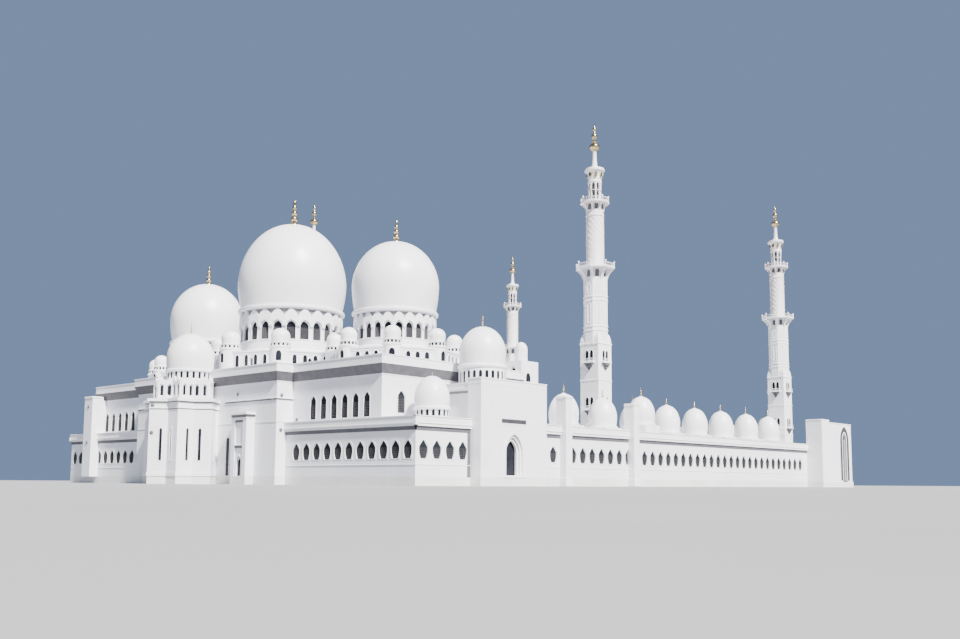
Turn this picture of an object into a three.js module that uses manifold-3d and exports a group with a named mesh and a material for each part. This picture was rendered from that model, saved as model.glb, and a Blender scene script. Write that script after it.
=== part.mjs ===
import * as THREE from "three";
import { mergeVertices } from "three/addons/utils/BufferGeometryUtils.js";
import Module from "manifold-3d";

// A white marble mosque as a 1:10 scale model. The sizes below are metres of the real building,
// and SCALE turns them into the model's millimetres. +X runs from the prayer wall to the
// courtyard, Y is across, and z = 0 is the ground. The plan mirrors about Y = 0.
const SCALE = 100;
const CENTRE_X = 79.45; // the plan's middle, measured from the axis of the great dome

// Levels
const FLOOR_Z = 2;
const AISLE_CORNICE_Z = 13.4;
const AISLE_TOP_Z = 15.4;
const AISLE_ROOF_Z = 14.2;
const HALL_CORNICE_Z = 25.7;
const HALL_BAND_Z = 28;
const HALL_ROOF_Z = 28.8;
const HALL_TOP_Z = 30.1;

// Walls of the prayer hall and its lower aisle
const WALL = 1.2;
const PARAPET = 0.8;
const HALL_X0 = -24;
const HALL_X1 = 33;
const HALL_Y = 66.2;
const AISLE_X0 = -26;
const AISLE_Y = 79.6;
const BLOCK_X0 = -29; // middle part of the prayer wall
const BLOCK_Y = 33.3;
const HALL_COVE = 1;
const AISLE_COVE = 0.6;

// Windows
const LOW_WINDOW = { width: 2.9, sill: 5.9, top: 10.25 };
const HIGH_WINDOW = { width: 2.4, sill: 15.8, top: 21.9 };
const ARCADE_ARCH = { width: 6.4, sill: FLOOR_Z, top: 11.4 };
const WINDOW_PITCH = 3.95;
const ARCADE_PITCH = 4.2;

// Prayer niche pavilion
const NICHE = { x: -33, half: 8, point: 11.4, top: 21.9 }; // two crossed squares in plan
const NICHE_DOME = { radius: 6.2, ring: 30.2, widest: 33.5, top: 40.1 };

// Porches beside the niche
const PORCH = { x0: -31.5, near: 17.9, far: 24.3, top: 18.2 };

// Side portals
const PORTAL = { x0: -8.5, x1: 15.7, front: 82.9, back: 78.8, top: 25 };
const TRANSEPT = { x0: -7.5, x1: 14.7, cornice: 22.1, band: 22.7, roof: 23.2, top: 24 };
const ARCHWAY = { x: 3.3, width: 6.6, top: 12.5 };
const PORTAL_DOME = { x: 2.9, y: 73, radius: 5.75, ring: 29.3, widest: 32.6, top: 39 };
const CORNER_DOME = { x: -14.5, y: 73, radius: 4.1, ring: 18.1, widest: 20.2, top: 25.3 };
const TOWER = { x0: 26, x1: 33, y: 66.2, depth: 6, top: 33.4 };
const TOWER_DOME = { x: 29.4, y: 63.2, radius: 1.75, ring: 35.2, widest: 36.7, top: 38.9 };

// Courtyard and its arcades
const COURT_X1 = 184;
const COURT_Y = 58;
const EAST_X1 = 198;
const PAVILION = { x0: 171, front: 85.5, top: 24.3 };
const EAST_GATE = { half: 13, x1: 204, top: 25 };
const ARCADE_DOME = { radius: 3.95, ring: 16.9, widest: 19.2, top: 24.9 };
const ARCADE_DOME_Y = 73.7;
const ARCADE_DOME_X = [34.6, 52.4, 86, 102.6, 119.2, 136.6, 153];
const TALL_DOME = { x: 72, rise: 1.7 };
const PYLON_X = [25.2, 56.2];
const PYLON = { width: 2.6, front: 81.6, top: 22.9 };
const CORNER_PYLON = { x0: -28.6, y0: 62, y1: 67, top: 26.8 };

// Domes over the hall: sizes of the two clusters
const GREAT = {
  podium: { radius: 22.6, top: 36.3, window: { width: 1.1, sill: 31.9, top: 34.6 } },
  turret: { ring: 20.6, radius: 2.6, top: 37.5, dome: 2.25, domeTop: 42.3 },
  drum: { radius: 14.3, band: 47, window: { width: 2, sill: 40.4, top: 45.3 } },
  dome: { radius: 15.7, ring: 50.1, widest: 58.5, top: 76.4 },
  finial: 8,
};
const SIDE = {
  podium: { radius: 17.6, top: 34.2, window: { width: 0.9, sill: 31.2, top: 33.3 } },
  turret: { ring: 15.7, radius: 2.1, top: 35.1, dome: 2, domeTop: 39.5 },
  drum: { radius: 10.4, band: 42.4, window: { width: 1.5, sill: 37.3, top: 41.1 } },
  dome: { radius: 11.5, ring: 45, widest: 52.4, top: 64.2 },
  finial: 6.2,
};
const SIDE_DOME_Y = 44.45;
const DRUM_SIDES = 24;

// Minarets
const MINARET_X = [59.6, 178.2];
const MINARET_Y = 66.4;
const MINARET = { base: 6.5, baseTop: 41.4, shoulder: 43.6, octagon: 3.4, shaft: 2.6, lantern: 1.9 };
const BALCONY = [
  { z: 63.8, radius: 5.9 },
  { z: 83.6, radius: 4.3 },
  { z: 93.6, radius: 3 },
];

const wasm = await Module();
wasm.setup();

const marble = (color, roughness) => new THREE.MeshStandardMaterial({ color, roughness });
const whiteMarble = () => marble(0xf1f0ee, 0.55);
const domeMarble = () => marble(0xf6f3ee, 0.45);
const floorMarble = () => marble(0xe6e4df, 0.4);
const shaftMarble = () => marble(0xefe6df, 0.5);
const gold = () => new THREE.MeshStandardMaterial({ color: 0xd4a13a, roughness: 0.3, metalness: 1 });

const mm = (metres) => Math.round(metres * SCALE);

// A solid from a closed geometry in metres, with every corner on a whole millimetre.
function solid(geometry) {
  geometry.deleteAttribute("normal");
  geometry.deleteAttribute("uv");
  const corners = geometry.getAttribute("position").array;
  corners.forEach((value, i) => (corners[i] = mm(value)));
  const merged = mergeVertices(geometry);
  const index = merged.index.array;
  const faces = [];
  for (let i = 0; i < index.length; i += 3) {
    const [a, b, c] = index.slice(i, i + 3);
    if (a !== b && b !== c && c !== a) faces.push(a, b, c); // a pole leaves faces with no area
  }
  const vertProperties = merged.getAttribute("position").array;
  return new wasm.Manifold(new wasm.Mesh({ numProp: 3, vertProperties, triVerts: new Uint32Array(faces) }));
}

const join = (solids) => solids.reduce((all, next) => all.add(next));
const cut = (body, holes) => holes.reduce((rest, hole) => rest.subtract(hole), body);

function box(x, y, z) {
  const [x0, x1] = [Math.min(...x), Math.max(...x)];
  const [y0, y1] = [Math.min(...y), Math.max(...y)];
  const geometry = new THREE.BoxGeometry(x1 - x0, y1 - y0, z[1] - z[0]);
  return solid(geometry.translate((x0 + x1) / 2, (y0 + y1) / 2, (z[0] + z[1]) / 2));
}

function prism(outline, z0, z1) {
  const shape = new THREE.Shape(outline.map(([x, y]) => new THREE.Vector2(x, y)));
  const geometry = new THREE.ExtrudeGeometry(shape, { depth: z1 - z0, bevelEnabled: false });
  return solid(geometry.translate(0, 0, z0));
}

// A stack of like outlines, one for each level, as a closed solid: used for coves and flares.
function taper(levels, sides, place = [0, 0], turn = 0) {
  const profile = [new THREE.Vector2(0, levels[0][1])];
  levels.forEach(([radius, z]) => profile.push(new THREE.Vector2(radius, z)));
  const last = levels[levels.length - 1];
  if (last[0] > 0) profile.push(new THREE.Vector2(0, last[1]));
  const geometry = new THREE.LatheGeometry(profile, sides);
  geometry.rotateX(Math.PI / 2).rotateZ(turn);
  return solid(geometry.translate(place[0], place[1], 0));
}

// The profile of a stilted dome, from its ring to its crown.
function domeLevels(dome, bands) {
  const levels = [[dome.radius * 0.955, dome.ring]];
  levels.push([dome.radius * 0.99, (dome.ring + dome.widest) / 2]);
  for (let i = 0; i < bands; i++) {
    const angle = (i / bands) * (Math.PI / 2);
    const rise = (dome.top - dome.widest) * Math.sin(angle);
    levels.push([dome.radius * Math.cos(angle), dome.widest + rise]);
  }
  levels.push([dome.radius * 0.07, dome.top]); // a flat crown to stand a finial on
  return levels;
}

// A dome shell, open below.
function domeShell(dome, thickness, sides, bands, place) {
  const inner = {
    radius: dome.radius - thickness,
    ring: dome.ring - 1,
    widest: dome.widest,
    top: dome.top - thickness,
  };
  return taper(domeLevels(dome, bands), sides, place).subtract(
    taper(domeLevels(inner, 3), sides / 2, place),
  );
}

// A pointed arch as a cutter through a wall: it runs along Y through its middle at y, or along X.
function archway(at, window, run, alongX = false) {
  const half = window.width / 2;
  const spring = window.top - half * 1.25;
  const haunch = [half * 0.66, (spring + window.top * 1.6) / 2.6];
  const big = window.width > 6.5;
  const outline = [
    [-half, window.sill],
    [half, window.sill],
    [half, spring],
    ...(big ? [haunch] : []),
    [0, window.top],
    ...(big ? [[-haunch[0], haunch[1]]] : []),
    [-half, spring],
  ];
  const shape = new THREE.Shape(outline.map(([u, z]) => new THREE.Vector2(u, z)));
  const geometry = new THREE.ExtrudeGeometry(shape, { depth: run, bevelEnabled: false });
  geometry.translate(0, 0, -run / 2).rotateX(Math.PI / 2);
  if (alongX) geometry.rotateZ(Math.PI / 2);
  return geometry.translate(at[0], at[1], 0);
}

const archCut = (at, window, run, alongX) => solid(archway(at, window, run, alongX));

// The same cutter turned about a tower's axis, so that it opens one of its faces.
function radialArch(centre, reach, angle, window, run) {
  const geometry = archway([reach, 0], window, run, true);
  return solid(geometry.rotateZ(angle).translate(centre[0], centre[1], 0));
}

const spread = (from, to, pitch) => {
  const count = Math.floor((to - from) / pitch + 1e-6) + 1;
  return Array.from({ length: count }, (_, i) => from + i * pitch);
};

const ring = (count, offset = 0) =>
  Array.from({ length: count }, (_, i) => ((i + offset) / count) * Math.PI * 2);

function place(group, name, body, material) {
  const made = body.getMesh();
  const geometry = new THREE.BufferGeometry();
  geometry.setAttribute("position", new THREE.BufferAttribute(made.vertProperties, 3));
  geometry.setIndex(new THREE.BufferAttribute(made.triVerts, 1));
  geometry.computeVertexNormals();
  const mesh = new THREE.Mesh(geometry, material);
  mesh.name = name;
  group.add(mesh);
  return mesh;
}

// A flat roof with a cove under its edge and a parapet round it. outline runs anticlockwise,
// grow gives the edge's overhang, and holes are cut through the slab.
function copedRoof(outline, level, overhang, holes = []) {
  const wide = grow(outline, overhang);
  const cove = frustum(outline, wide, level.cornice, level.band);
  const slab = join([cove, prism(wide, level.band, level.top)]);
  const inside = prism(grow(wide, -PARAPET), level.roof, level.top + 1);
  return cut(slab, [inside, ...holes]);
}

// Moves each edge of a right-angled outline outwards by the same distance.
function grow(outline, distance) {
  const count = outline.length;
  return outline.map(([x, y], i) => {
    const [px, py] = outline[(i + count - 1) % count];
    const [nx, ny] = outline[(i + 1) % count];
    const before = [Math.sign(y - py), -Math.sign(x - px)];
    const after = [Math.sign(ny - y), -Math.sign(nx - x)];
    return [x + distance * (before[0] + after[0]), y + distance * (before[1] + after[1])];
  });
}

// A solid between two outlines with the same number of corners.
function frustum(low, high, z0, z1) {
  const corners = low.map(([x, y]) => new THREE.Vector2(x, y));
  const caps = THREE.ShapeUtils.triangulateShape(corners, []);
  const count = low.length;
  const positions = [...low.map((p) => [...p, z0]), ...high.map((p) => [...p, z1])];
  const index = [];
  caps.forEach(([a, b, c]) => index.push(a, c, b, a + count, b + count, c + count));
  low.forEach((_, i) => {
    const j = (i + 1) % count;
    index.push(i, j, j + count, i, j + count, i + count);
  });
  const geometry = new THREE.BufferGeometry();
  geometry.setAttribute("position", new THREE.Float32BufferAttribute(positions.flat(), 3));
  geometry.setIndex(index);
  return solid(geometry.toNonIndexed());
}

const mosque = new THREE.Group();
mosque.position.x = -mm(CENTRE_X);
const sides = [
  ["south", -1],
  ["north", 1],
];

// Outlines of the whole plan, anticlockwise
const aislePlan = [
  [AISLE_X0, -AISLE_Y],
  [HALL_X1, -AISLE_Y],
  [HALL_X1, AISLE_Y],
  [AISLE_X0, AISLE_Y],
];
const hallPlan = [
  [HALL_X0, -HALL_Y],
  [HALL_X1, -HALL_Y],
  [HALL_X1, HALL_Y],
  [HALL_X0, HALL_Y],
  [HALL_X0, BLOCK_Y],
  [BLOCK_X0, BLOCK_Y],
  [BLOCK_X0, -BLOCK_Y],
  [HALL_X0, -BLOCK_Y],
];

// The whole outline from its south half, which may start on the long axis.
const mirrored = (half) => {
  const other = half.filter(([, y]) => y !== 0).map(([x, y]) => [x, -y]);
  return [...half, ...other.reverse()];
};

// The south half of the niche's star, from its west point back to the prayer wall.
function nicheHalf(inset, back = BLOCK_X0) {
  const half = NICHE.half - inset;
  const point = NICHE.point - inset * Math.SQRT2;
  const step = point - half;
  const star = [
    [-point, 0],
    [-half, -step],
    [-half, -half],
    [-step, -half],
    [0, -point],
    [step, -half],
    [back - NICHE.x, -half],
  ];
  return star.map(([x, y]) => [x + NICHE.x, y]);
}

const nichePrism = (inset, z0, z1, back) => prism(mirrored(nicheHalf(inset, back)), z0, z1);

// Arches near the inner corners of the star, one cut through each face that shows.
function nicheArches(inset, window, run) {
  const plan = mirrored(nicheHalf(inset));
  return plan.slice(0, 5).flatMap(([x, y], i) => {
    const [nextX, nextY] = plan[i + 1];
    const share = i % 2 ? 0.36 : 0.64;
    const at = [x + (nextX - x) * share, y + (nextY - y) * share];
    const angle = Math.atan2(x - nextX, nextY - y);
    const south = radialArch(at, 0, angle, window, run);
    return [south, radialArch([at[0], -at[1]], 0, -angle, window, run)];
  });
}

function plinths() {
  const half = [
    ...nicheHalf(0),
    [BLOCK_X0, -PORCH.near],
    [PORCH.x0, -PORCH.near],
    [PORCH.x0, -PORCH.far],
    [BLOCK_X0, -PORCH.far],
    [BLOCK_X0, -BLOCK_Y],
    [AISLE_X0, -BLOCK_Y],
    [AISLE_X0, -AISLE_Y],
    [PORTAL.x0, -AISLE_Y],
    [PORTAL.x0, -PORTAL.front],
    [PORTAL.x1, -PORTAL.front],
    [PORTAL.x1, -AISLE_Y],
    [HALL_X1, -AISLE_Y],
  ];
  place(mosque, "hall_floor", prism(mirrored(half), 0, FLOOR_Z), floorMarble());
  const court = [
    [HALL_X1, -AISLE_Y],
    [PAVILION.x0, -AISLE_Y],
    [PAVILION.x0, -PAVILION.front],
    [EAST_X1, -PAVILION.front],
    [EAST_X1, -EAST_GATE.half],
    [EAST_GATE.x1, -EAST_GATE.half],
  ];
  place(mosque, "courtyard_floor", prism(mirrored(court), 0, FLOOR_Z), floorMarble());
}

// A tall pier stands at the north end of the hall's prayer side, notched under the roof's cove.
function cornerPylon() {
  const { x0, y0, y1, top } = CORNER_PYLON;
  const foot = box([x0, HALL_X0], [y0, y1], [FLOOR_Z, HALL_CORNICE_Z]);
  return foot.add(box([x0, HALL_X0 - HALL_COVE], [y0, y1], [FLOOR_Z, top]));
}

// The low tier round the hall: windowed walls with a coped roof that leans on the hall.
function aisle([name, s]) {
  const outside = [s * AISLE_Y, s * (AISLE_Y - WALL)];
  const through = (x) => archCut([x, s * (AISLE_Y - WALL / 2)], LOW_WINDOW, WALL * 3);
  const wall = box([AISLE_X0, PORTAL.x0], outside, [FLOOR_Z, AISLE_CORNICE_Z]);
  const windows = spread(-23.6, PORTAL.x0 - 2, ARCADE_PITCH).map(through);
  const face = [AISLE_X0, AISLE_X0 + WALL];
  const end = box(face, [s * BLOCK_Y, s * (AISLE_Y - WALL)], [FLOOR_Z, AISLE_CORNICE_Z]);
  const rows = spread(BLOCK_Y + 4.3, AISLE_Y - 2, WINDOW_PITCH).map((y) =>
    archCut([AISLE_X0 + WALL / 2, s * y], LOW_WINDOW, WALL * 3, true),
  );
  const body = cut(wall.add(end), [...windows, ...rows]);
  const pylons = s > 0 ? [cornerPylon()] : [];
  place(mosque, `aisle_wall_${name}`, join([body, ...pylons]), whiteMarble());

  const levels = { cornice: AISLE_CORNICE_Z, band: 13.7, roof: AISLE_ROOF_Z, top: AISLE_TOP_Z };
  const roof = copedRoof(aislePlan, levels, AISLE_COVE)
    .intersect(box([-40, PORTAL.x0 + 1], [s * BLOCK_Y, s * 90], [0, 40]))
    .subtract(box([HALL_X0, 60], [-HALL_Y, HALL_Y], [AISLE_ROOF_Z, 40]))
    .subtract(box([HALL_X0 + WALL, 60], [-HALL_Y, HALL_Y], [0, 40]))
    .subtract(box([PORTAL.x0, 20], [s * PORTAL.back, s * 90], [0, 40]));
  const { x, y, ring: ringZ } = CORNER_DOME;
  const drum = taper([[3.9, AISLE_ROOF_Z], [3.9, ringZ]], 12, [x, s * y]);
  const slots = ring(12, 0.5).map((angle) =>
    radialArch([x, s * y], 3.9, angle, { width: 0.8, sill: 16, top: 17.8 }, 1.2),
  );
  const dome = taper(domeLevels(CORNER_DOME, 4), 12, [x, s * y]);
  const tier = join([cut(roof, pylons), cut(drum, slots), dome]);
  place(mosque, `aisle_roof_${name}`, tier, domeMarble());
}

// The upper walls of the prayer hall.
function hallWalls([name, s]) {
  const height = [AISLE_ROOF_Z, HALL_CORNICE_Z];
  const end = box([HALL_X0, HALL_X0 + WALL], [s * BLOCK_Y, s * HALL_Y], height);
  const row = spread(BLOCK_Y + 8, HALL_Y - 4, WINDOW_PITCH).map((y) =>
    archCut([HALL_X0 + WALL / 2, s * y], HIGH_WINDOW, WALL * 3, true),
  );
  const depth = [s * (HALL_Y - WALL), s * HALL_Y];
  const long = box([HALL_X0 + WALL, HALL_X1], depth, [FLOOR_Z, HALL_CORNICE_Z]);
  const upper = [-17.8, 21.5, 29.4].map((x) =>
    archCut([x, s * HALL_Y], { width: 2.7, sill: 16.7, top: 22.3 }, WALL * 4),
  );
  const lower = spread(-16, 26, 8.4).map((x) =>
    archCut([x, s * HALL_Y], { width: 5.6, sill: FLOOR_Z, top: 11 }, WALL * 4),
  );
  const wall = cut(end.add(long), [...row, ...upper, ...lower]);
  place(mosque, `hall_wall_${name}`, wall, whiteMarble());
}

// The middle of the prayer wall stands forward, with a return at each end.
function prayerWall() {
  const height = [FLOOR_Z, HALL_CORNICE_Z];
  const front = box([BLOCK_X0, BLOCK_X0 + WALL], [-BLOCK_Y, BLOCK_Y], height);
  const returns = sides.map(([, s]) => {
    const inner = box([BLOCK_X0, AISLE_X0], [s * (BLOCK_Y - WALL), s * BLOCK_Y], height);
    const upper = box([AISLE_X0, HALL_X0 + WALL], [s * (BLOCK_Y - WALL), s * BLOCK_Y], height);
    return inner.add(upper);
  });
  const opening = box([BLOCK_X0 - 1, BLOCK_X0 + 2], [-6, 6], [FLOOR_Z, 18]);
  const porches = sides.map(([, s]) => porch(s));
  const rooms = sides.flatMap(([, s]) => porchRoom(s));
  const walls = cut(join([front, ...returns, ...porches]), [opening, ...rooms]);
  place(mosque, "prayer_wall", walls, whiteMarble());
}

function porch(s) {
  const { x0, near, far, top } = PORCH;
  const block = box([x0, BLOCK_X0], [s * near, s * far], [FLOOR_Z, top]);
  const cornice = box([x0 - 0.4, BLOCK_X0], [s * (near - 0.4), s * (far + 0.4)], [top - 0.6, top]);
  return block.add(cornice);
}

// A porch's room opens into the hall, and its door stands in a shallow tall panel.
function porchRoom(s) {
  const { x0, near, far, top } = PORCH;
  const middle = (s * (near + far)) / 2;
  return [
    box([x0 + 0.9, BLOCK_X0 + 2], [s * (near + 0.9), s * (far - 0.9)], [FLOOR_Z - 1, top - 1.6]),
    box([x0 - 1, x0 + 0.3], [middle - 1.7, middle + 1.7], [FLOOR_Z - 1, top - 2]),
    archCut([x0, middle], { width: 2, sill: FLOOR_Z - 1, top: 7.1 }, 4, true),
  ];
}

// The wall between the hall and the courtyard, with the same low and high rows.
function courtWall() {
  const half = HALL_Y - WALL;
  const wall = box([HALL_X1 - WALL, HALL_X1], [-half, half], [FLOOR_Z, HALL_CORNICE_Z]);
  const doors = spread(-48, 48, 16).map((y) =>
    archCut([HALL_X1, y], { width: 6, sill: FLOOR_Z, top: 12.4 }, WALL * 4, true),
  );
  const windows = spread(-56, 56, 16).map((y) =>
    archCut([HALL_X1, y], HIGH_WINDOW, WALL * 4, true),
  );
  place(mosque, "hall_court_wall", cut(wall, [...doors, ...windows]), whiteMarble());
}

function hallRoof() {
  const levels = {
    cornice: HALL_CORNICE_Z,
    band: HALL_BAND_Z,
    roof: HALL_ROOF_Z,
    top: HALL_TOP_Z,
  };
  const eye = (radius, y) => taper([[radius, 20], [radius, 40]], 12, [0, y]);
  const holes = [eye(12.2, 0), eye(9, SIDE_DOME_Y), eye(9, -SIDE_DOME_Y)];
  const towers = sides.flatMap(([, s]) => [
    box([TOWER.x0, 60], [s * (HALL_Y - TOWER.depth), s * 90], [HALL_ROOF_Z, 40]),
    box([TOWER.x0, 60], [s * HALL_Y, s * 90], [20, 40]), // no cove in front of a tower
    box([HALL_X1, 60], [s * (HALL_Y - TOWER.depth), s * 90], [20, 40]),
  ]);
  const roof = copedRoof(hallPlan, levels, HALL_COVE, [...holes, ...towers]);
  place(mosque, "hall_roof", roof, whiteMarble());
}

// Square corner tower over the courtyard end of the hall, with one arch in each face.
function cornerTower([name, s]) {
  const { x0, x1, y, depth, top } = TOWER;
  const window = { width: 1.7, sill: 29.9, top: 32.2 };
  const block = box([x0, x1], [s * (y - depth), s * y], [HALL_ROOF_Z, top]);
  const middle = [(x0 + x1) / 2, s * (y - depth / 2)];
  const across = archCut(middle, window, 20);
  const along = archCut(middle, window, 20, true);
  const wall = 0.8;
  const inside = [s * (y - depth + wall), s * (y - wall)];
  const room = box([x0 + wall, x1 - wall], inside, [HALL_ROOF_Z - 1, top - wall]);
  const at = [TOWER_DOME.x, s * TOWER_DOME.y];
  const { radius, ring: ringZ } = TOWER_DOME;
  const neck = taper([[radius, top], [radius, ringZ - 1]], 10, at);
  const body = cut(block, [room, across, along]);
  const dome = taper(domeLevels({ ...TOWER_DOME, ring: ringZ - 1 }, 4), 10, at);
  place(mosque, `corner_tower_${name}`, join([body, neck, dome]), domeMarble());
}

// An eight-sided podium with a domed turret at each corner, then the drum, the dome and its finial.
function domeCluster(name, y, size) {
  const group = new THREE.Group();
  group.position.y = mm(y);
  const { podium, turret, drum, dome } = size;
  const corners = ring(8);
  const apothem = Math.cos(Math.PI / 8);
  const octagon = (radius, z0, z1) => taper([[radius, z0], [radius, z1]], 8);
  const wall = octagon(podium.radius, HALL_ROOF_Z, podium.top);
  const room = octagon(podium.radius - WALL, HALL_ROOF_Z - 1, podium.top - 0.8);
  const inner = drum.radius - 1.3;
  const eye = taper([[inner, HALL_ROOF_Z], [inner, podium.top + 1]], 12);
  const holes = ring(8, 0.5).map((angle) =>
    radialArch([0, 0], podium.radius * apothem, angle, podium.window, 5),
  );
  const turrets = corners.map((angle) => {
    const at = [turret.ring * Math.cos(angle), turret.ring * Math.sin(angle)];
    const { radius, top, dome: cap, domeTop } = turret;
    const levels = [[radius, HALL_ROOF_Z], [radius, top], [cap, top + 1.4]];
    levels.push([cap * 0.72, domeTop - 1.1], [0, domeTop]);
    return taper(levels, 6, at, angle);
  });
  const base = cut(join([wall, ...turrets]), [room, eye, ...holes]);
  place(group, `${name}_podium`, base, whiteMarble());

  const lip = dome.radius * 0.98;
  const outside = [
    [drum.radius, podium.top],
    [drum.radius, drum.band],
    [lip, dome.ring - 0.6],
    [lip, dome.ring],
  ];
  const tube = taper(outside, DRUM_SIDES);
  const bore = taper([[inner, podium.top - 1], [inner, dome.ring + 1]], DRUM_SIDES);
  const windows = ring(DRUM_SIDES, 0.5).map((angle) =>
    radialArch([0, 0], drum.radius, angle, drum.window, 5),
  );
  place(group, `${name}_drum`, cut(tube, [bore, ...windows]), whiteMarble());
  place(group, `${name}_dome`, domeShell(dome, 1, DRUM_SIDES, 5), domeMarble());
  place(group, `${name}_finial`, finial(size.finial, dome.top, [0, 0]), gold());
  mosque.add(group);
}

// A gilded spire of balls on a stem, standing on a dome's crown.
function finial(height, foot, at) {
  const wide = height * 0.075;
  const shares = [
    [1, 0],
    [0.4, 0.2],
    [1, 0.3],
    [0.35, 0.42],
    [0.8, 0.52],
    [0.3, 0.62],
    [0.5, 0.7],
    [0, 1],
  ];
  return taper(shares.map(([radius, rise]) => [wide * radius, foot + height * rise]), 6, at);
}

// The pavilion of the prayer niche: a star-shaped block, an arcaded tier and a domed drum.
function nichePavilion() {
  const { x, top } = NICHE;
  const roof = top - 2;
  const inside = BLOCK_X0 + 1;
  const block = nichePrism(0, FLOOR_Z, top).add(nichePrism(-0.5, top - 0.7, top));
  const rooms = [
    nichePrism(WALL, FLOOR_Z - 1, roof - 1, inside),
    nichePrism(PARAPET, roof, top + 1, inside),
  ];
  const slits = nicheArches(0, { width: 0.8, sill: 6, top: 14.4 }, 4);
  place(mosque, "niche_walls", cut(block, [...rooms, ...slits]), whiteMarble());

  const at = [x, 0];
  const inset = 1.5;
  const tierTop = 26.8;
  const tier = nichePrism(inset, roof, tierTop, BLOCK_X0 - HALL_COVE);
  const well = nichePrism(inset + 0.9, roof - 1, tierTop - 0.8, inside);
  const arches = nicheArches(inset, { width: 1.1, sill: 23.2, top: 25.6 }, 2.6);
  const drum = taper([[5.9, tierTop - 0.4], [5.9, NICHE_DOME.ring]], 12, at);
  const bore = taper([[4.9, tierTop - 2], [4.9, NICHE_DOME.ring + 1]], 12, at);
  const slots = ring(12, 0.5).map((angle) =>
    radialArch(at, 5.8, angle, { width: 0.9, sill: 27.3, top: 29.1 }, 3),
  );
  const behind = box([BLOCK_X0 - HALL_COVE, 0], [-20, 20], [0, 60]);
  const body = cut(join([cut(tier, [well, ...arches]), drum]), [bore, behind, ...slots]);
  place(mosque, "niche_tier", body, whiteMarble());
  const dome = domeShell(NICHE_DOME, 0.7, 12, 4, at).add(finial(3.4, NICHE_DOME.top - 0.1, at));
  place(mosque, "niche_dome", dome, domeMarble());
}

// A side entrance: a tall front with a pointed archway, the transept behind it and its dome.
function sidePortal([name, s]) {
  const { x0, x1, front, back, top } = PORTAL;
  const face = box([x0, x1], [s * (front - WALL), s * front], [FLOOR_Z, top]);
  const flanks = [
    box([x0, x0 + WALL], [s * back, s * front], [FLOOR_Z, top]),
    box([x1 - WALL, x1], [s * back, s * front], [FLOOR_Z, top]),
    box([x0, x1], [s * back, s * front], [top - 1.2, top]),
  ];
  const arch = { width: ARCHWAY.width, sill: FLOOR_Z, top: ARCHWAY.top };
  const slot = box([ARCHWAY.x - 4.5, ARCHWAY.x + 4.5], [s * (front - 0.5), s * (front + 1)], [15, 15.6]);
  const gate = cut(join([face, ...flanks]), [archCut([ARCHWAY.x, s * front], arch, 4), slot]);
  place(mosque, `portal_front_${name}`, gate, whiteMarble());

  const { cornice, band, roof, top: rim } = TRANSEPT;
  const near = s * HALL_Y;
  const walls = [TRANSEPT.x0, TRANSEPT.x1 - WALL].map((x) =>
    box([x, x + WALL], [near, s * back], [FLOOR_Z, cornice]),
  );
  const plan = [
    [TRANSEPT.x0, -90],
    [TRANSEPT.x1, -90],
    [TRANSEPT.x1, 90],
    [TRANSEPT.x0, 90],
  ];
  const lid = copedRoof(plan, { cornice, band, roof, top: rim }, 0.7).intersect(
    box([-20, 30], [near, s * back], [0, 40]),
  );
  const at = [PORTAL_DOME.x, s * PORTAL_DOME.y];
  const eye = taper([[4.2, 10], [4.2, 40]], 12, at);
  const hall = cut(join([lid, ...walls]), [eye]);

  const drum = taper([[5.6, roof], [5.6, PORTAL_DOME.ring]], 12, at);
  const bore = taper([[4.6, roof - 1], [4.6, PORTAL_DOME.ring + 1]], 12, at);
  const slots = ring(12, 0.5).map((angle) =>
    radialArch(at, 5.5, angle, { width: 1, sill: 25, top: 28.2 }, 3),
  );
  place(mosque, `portal_hall_${name}`, hall.add(cut(drum, [bore, ...slots])), whiteMarble());
  const dome = domeShell(PORTAL_DOME, 0.7, 12, 4, at).add(finial(3.6, PORTAL_DOME.top - 0.1, at));
  place(mosque, `portal_dome_${name}`, dome, domeMarble());
}

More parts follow.
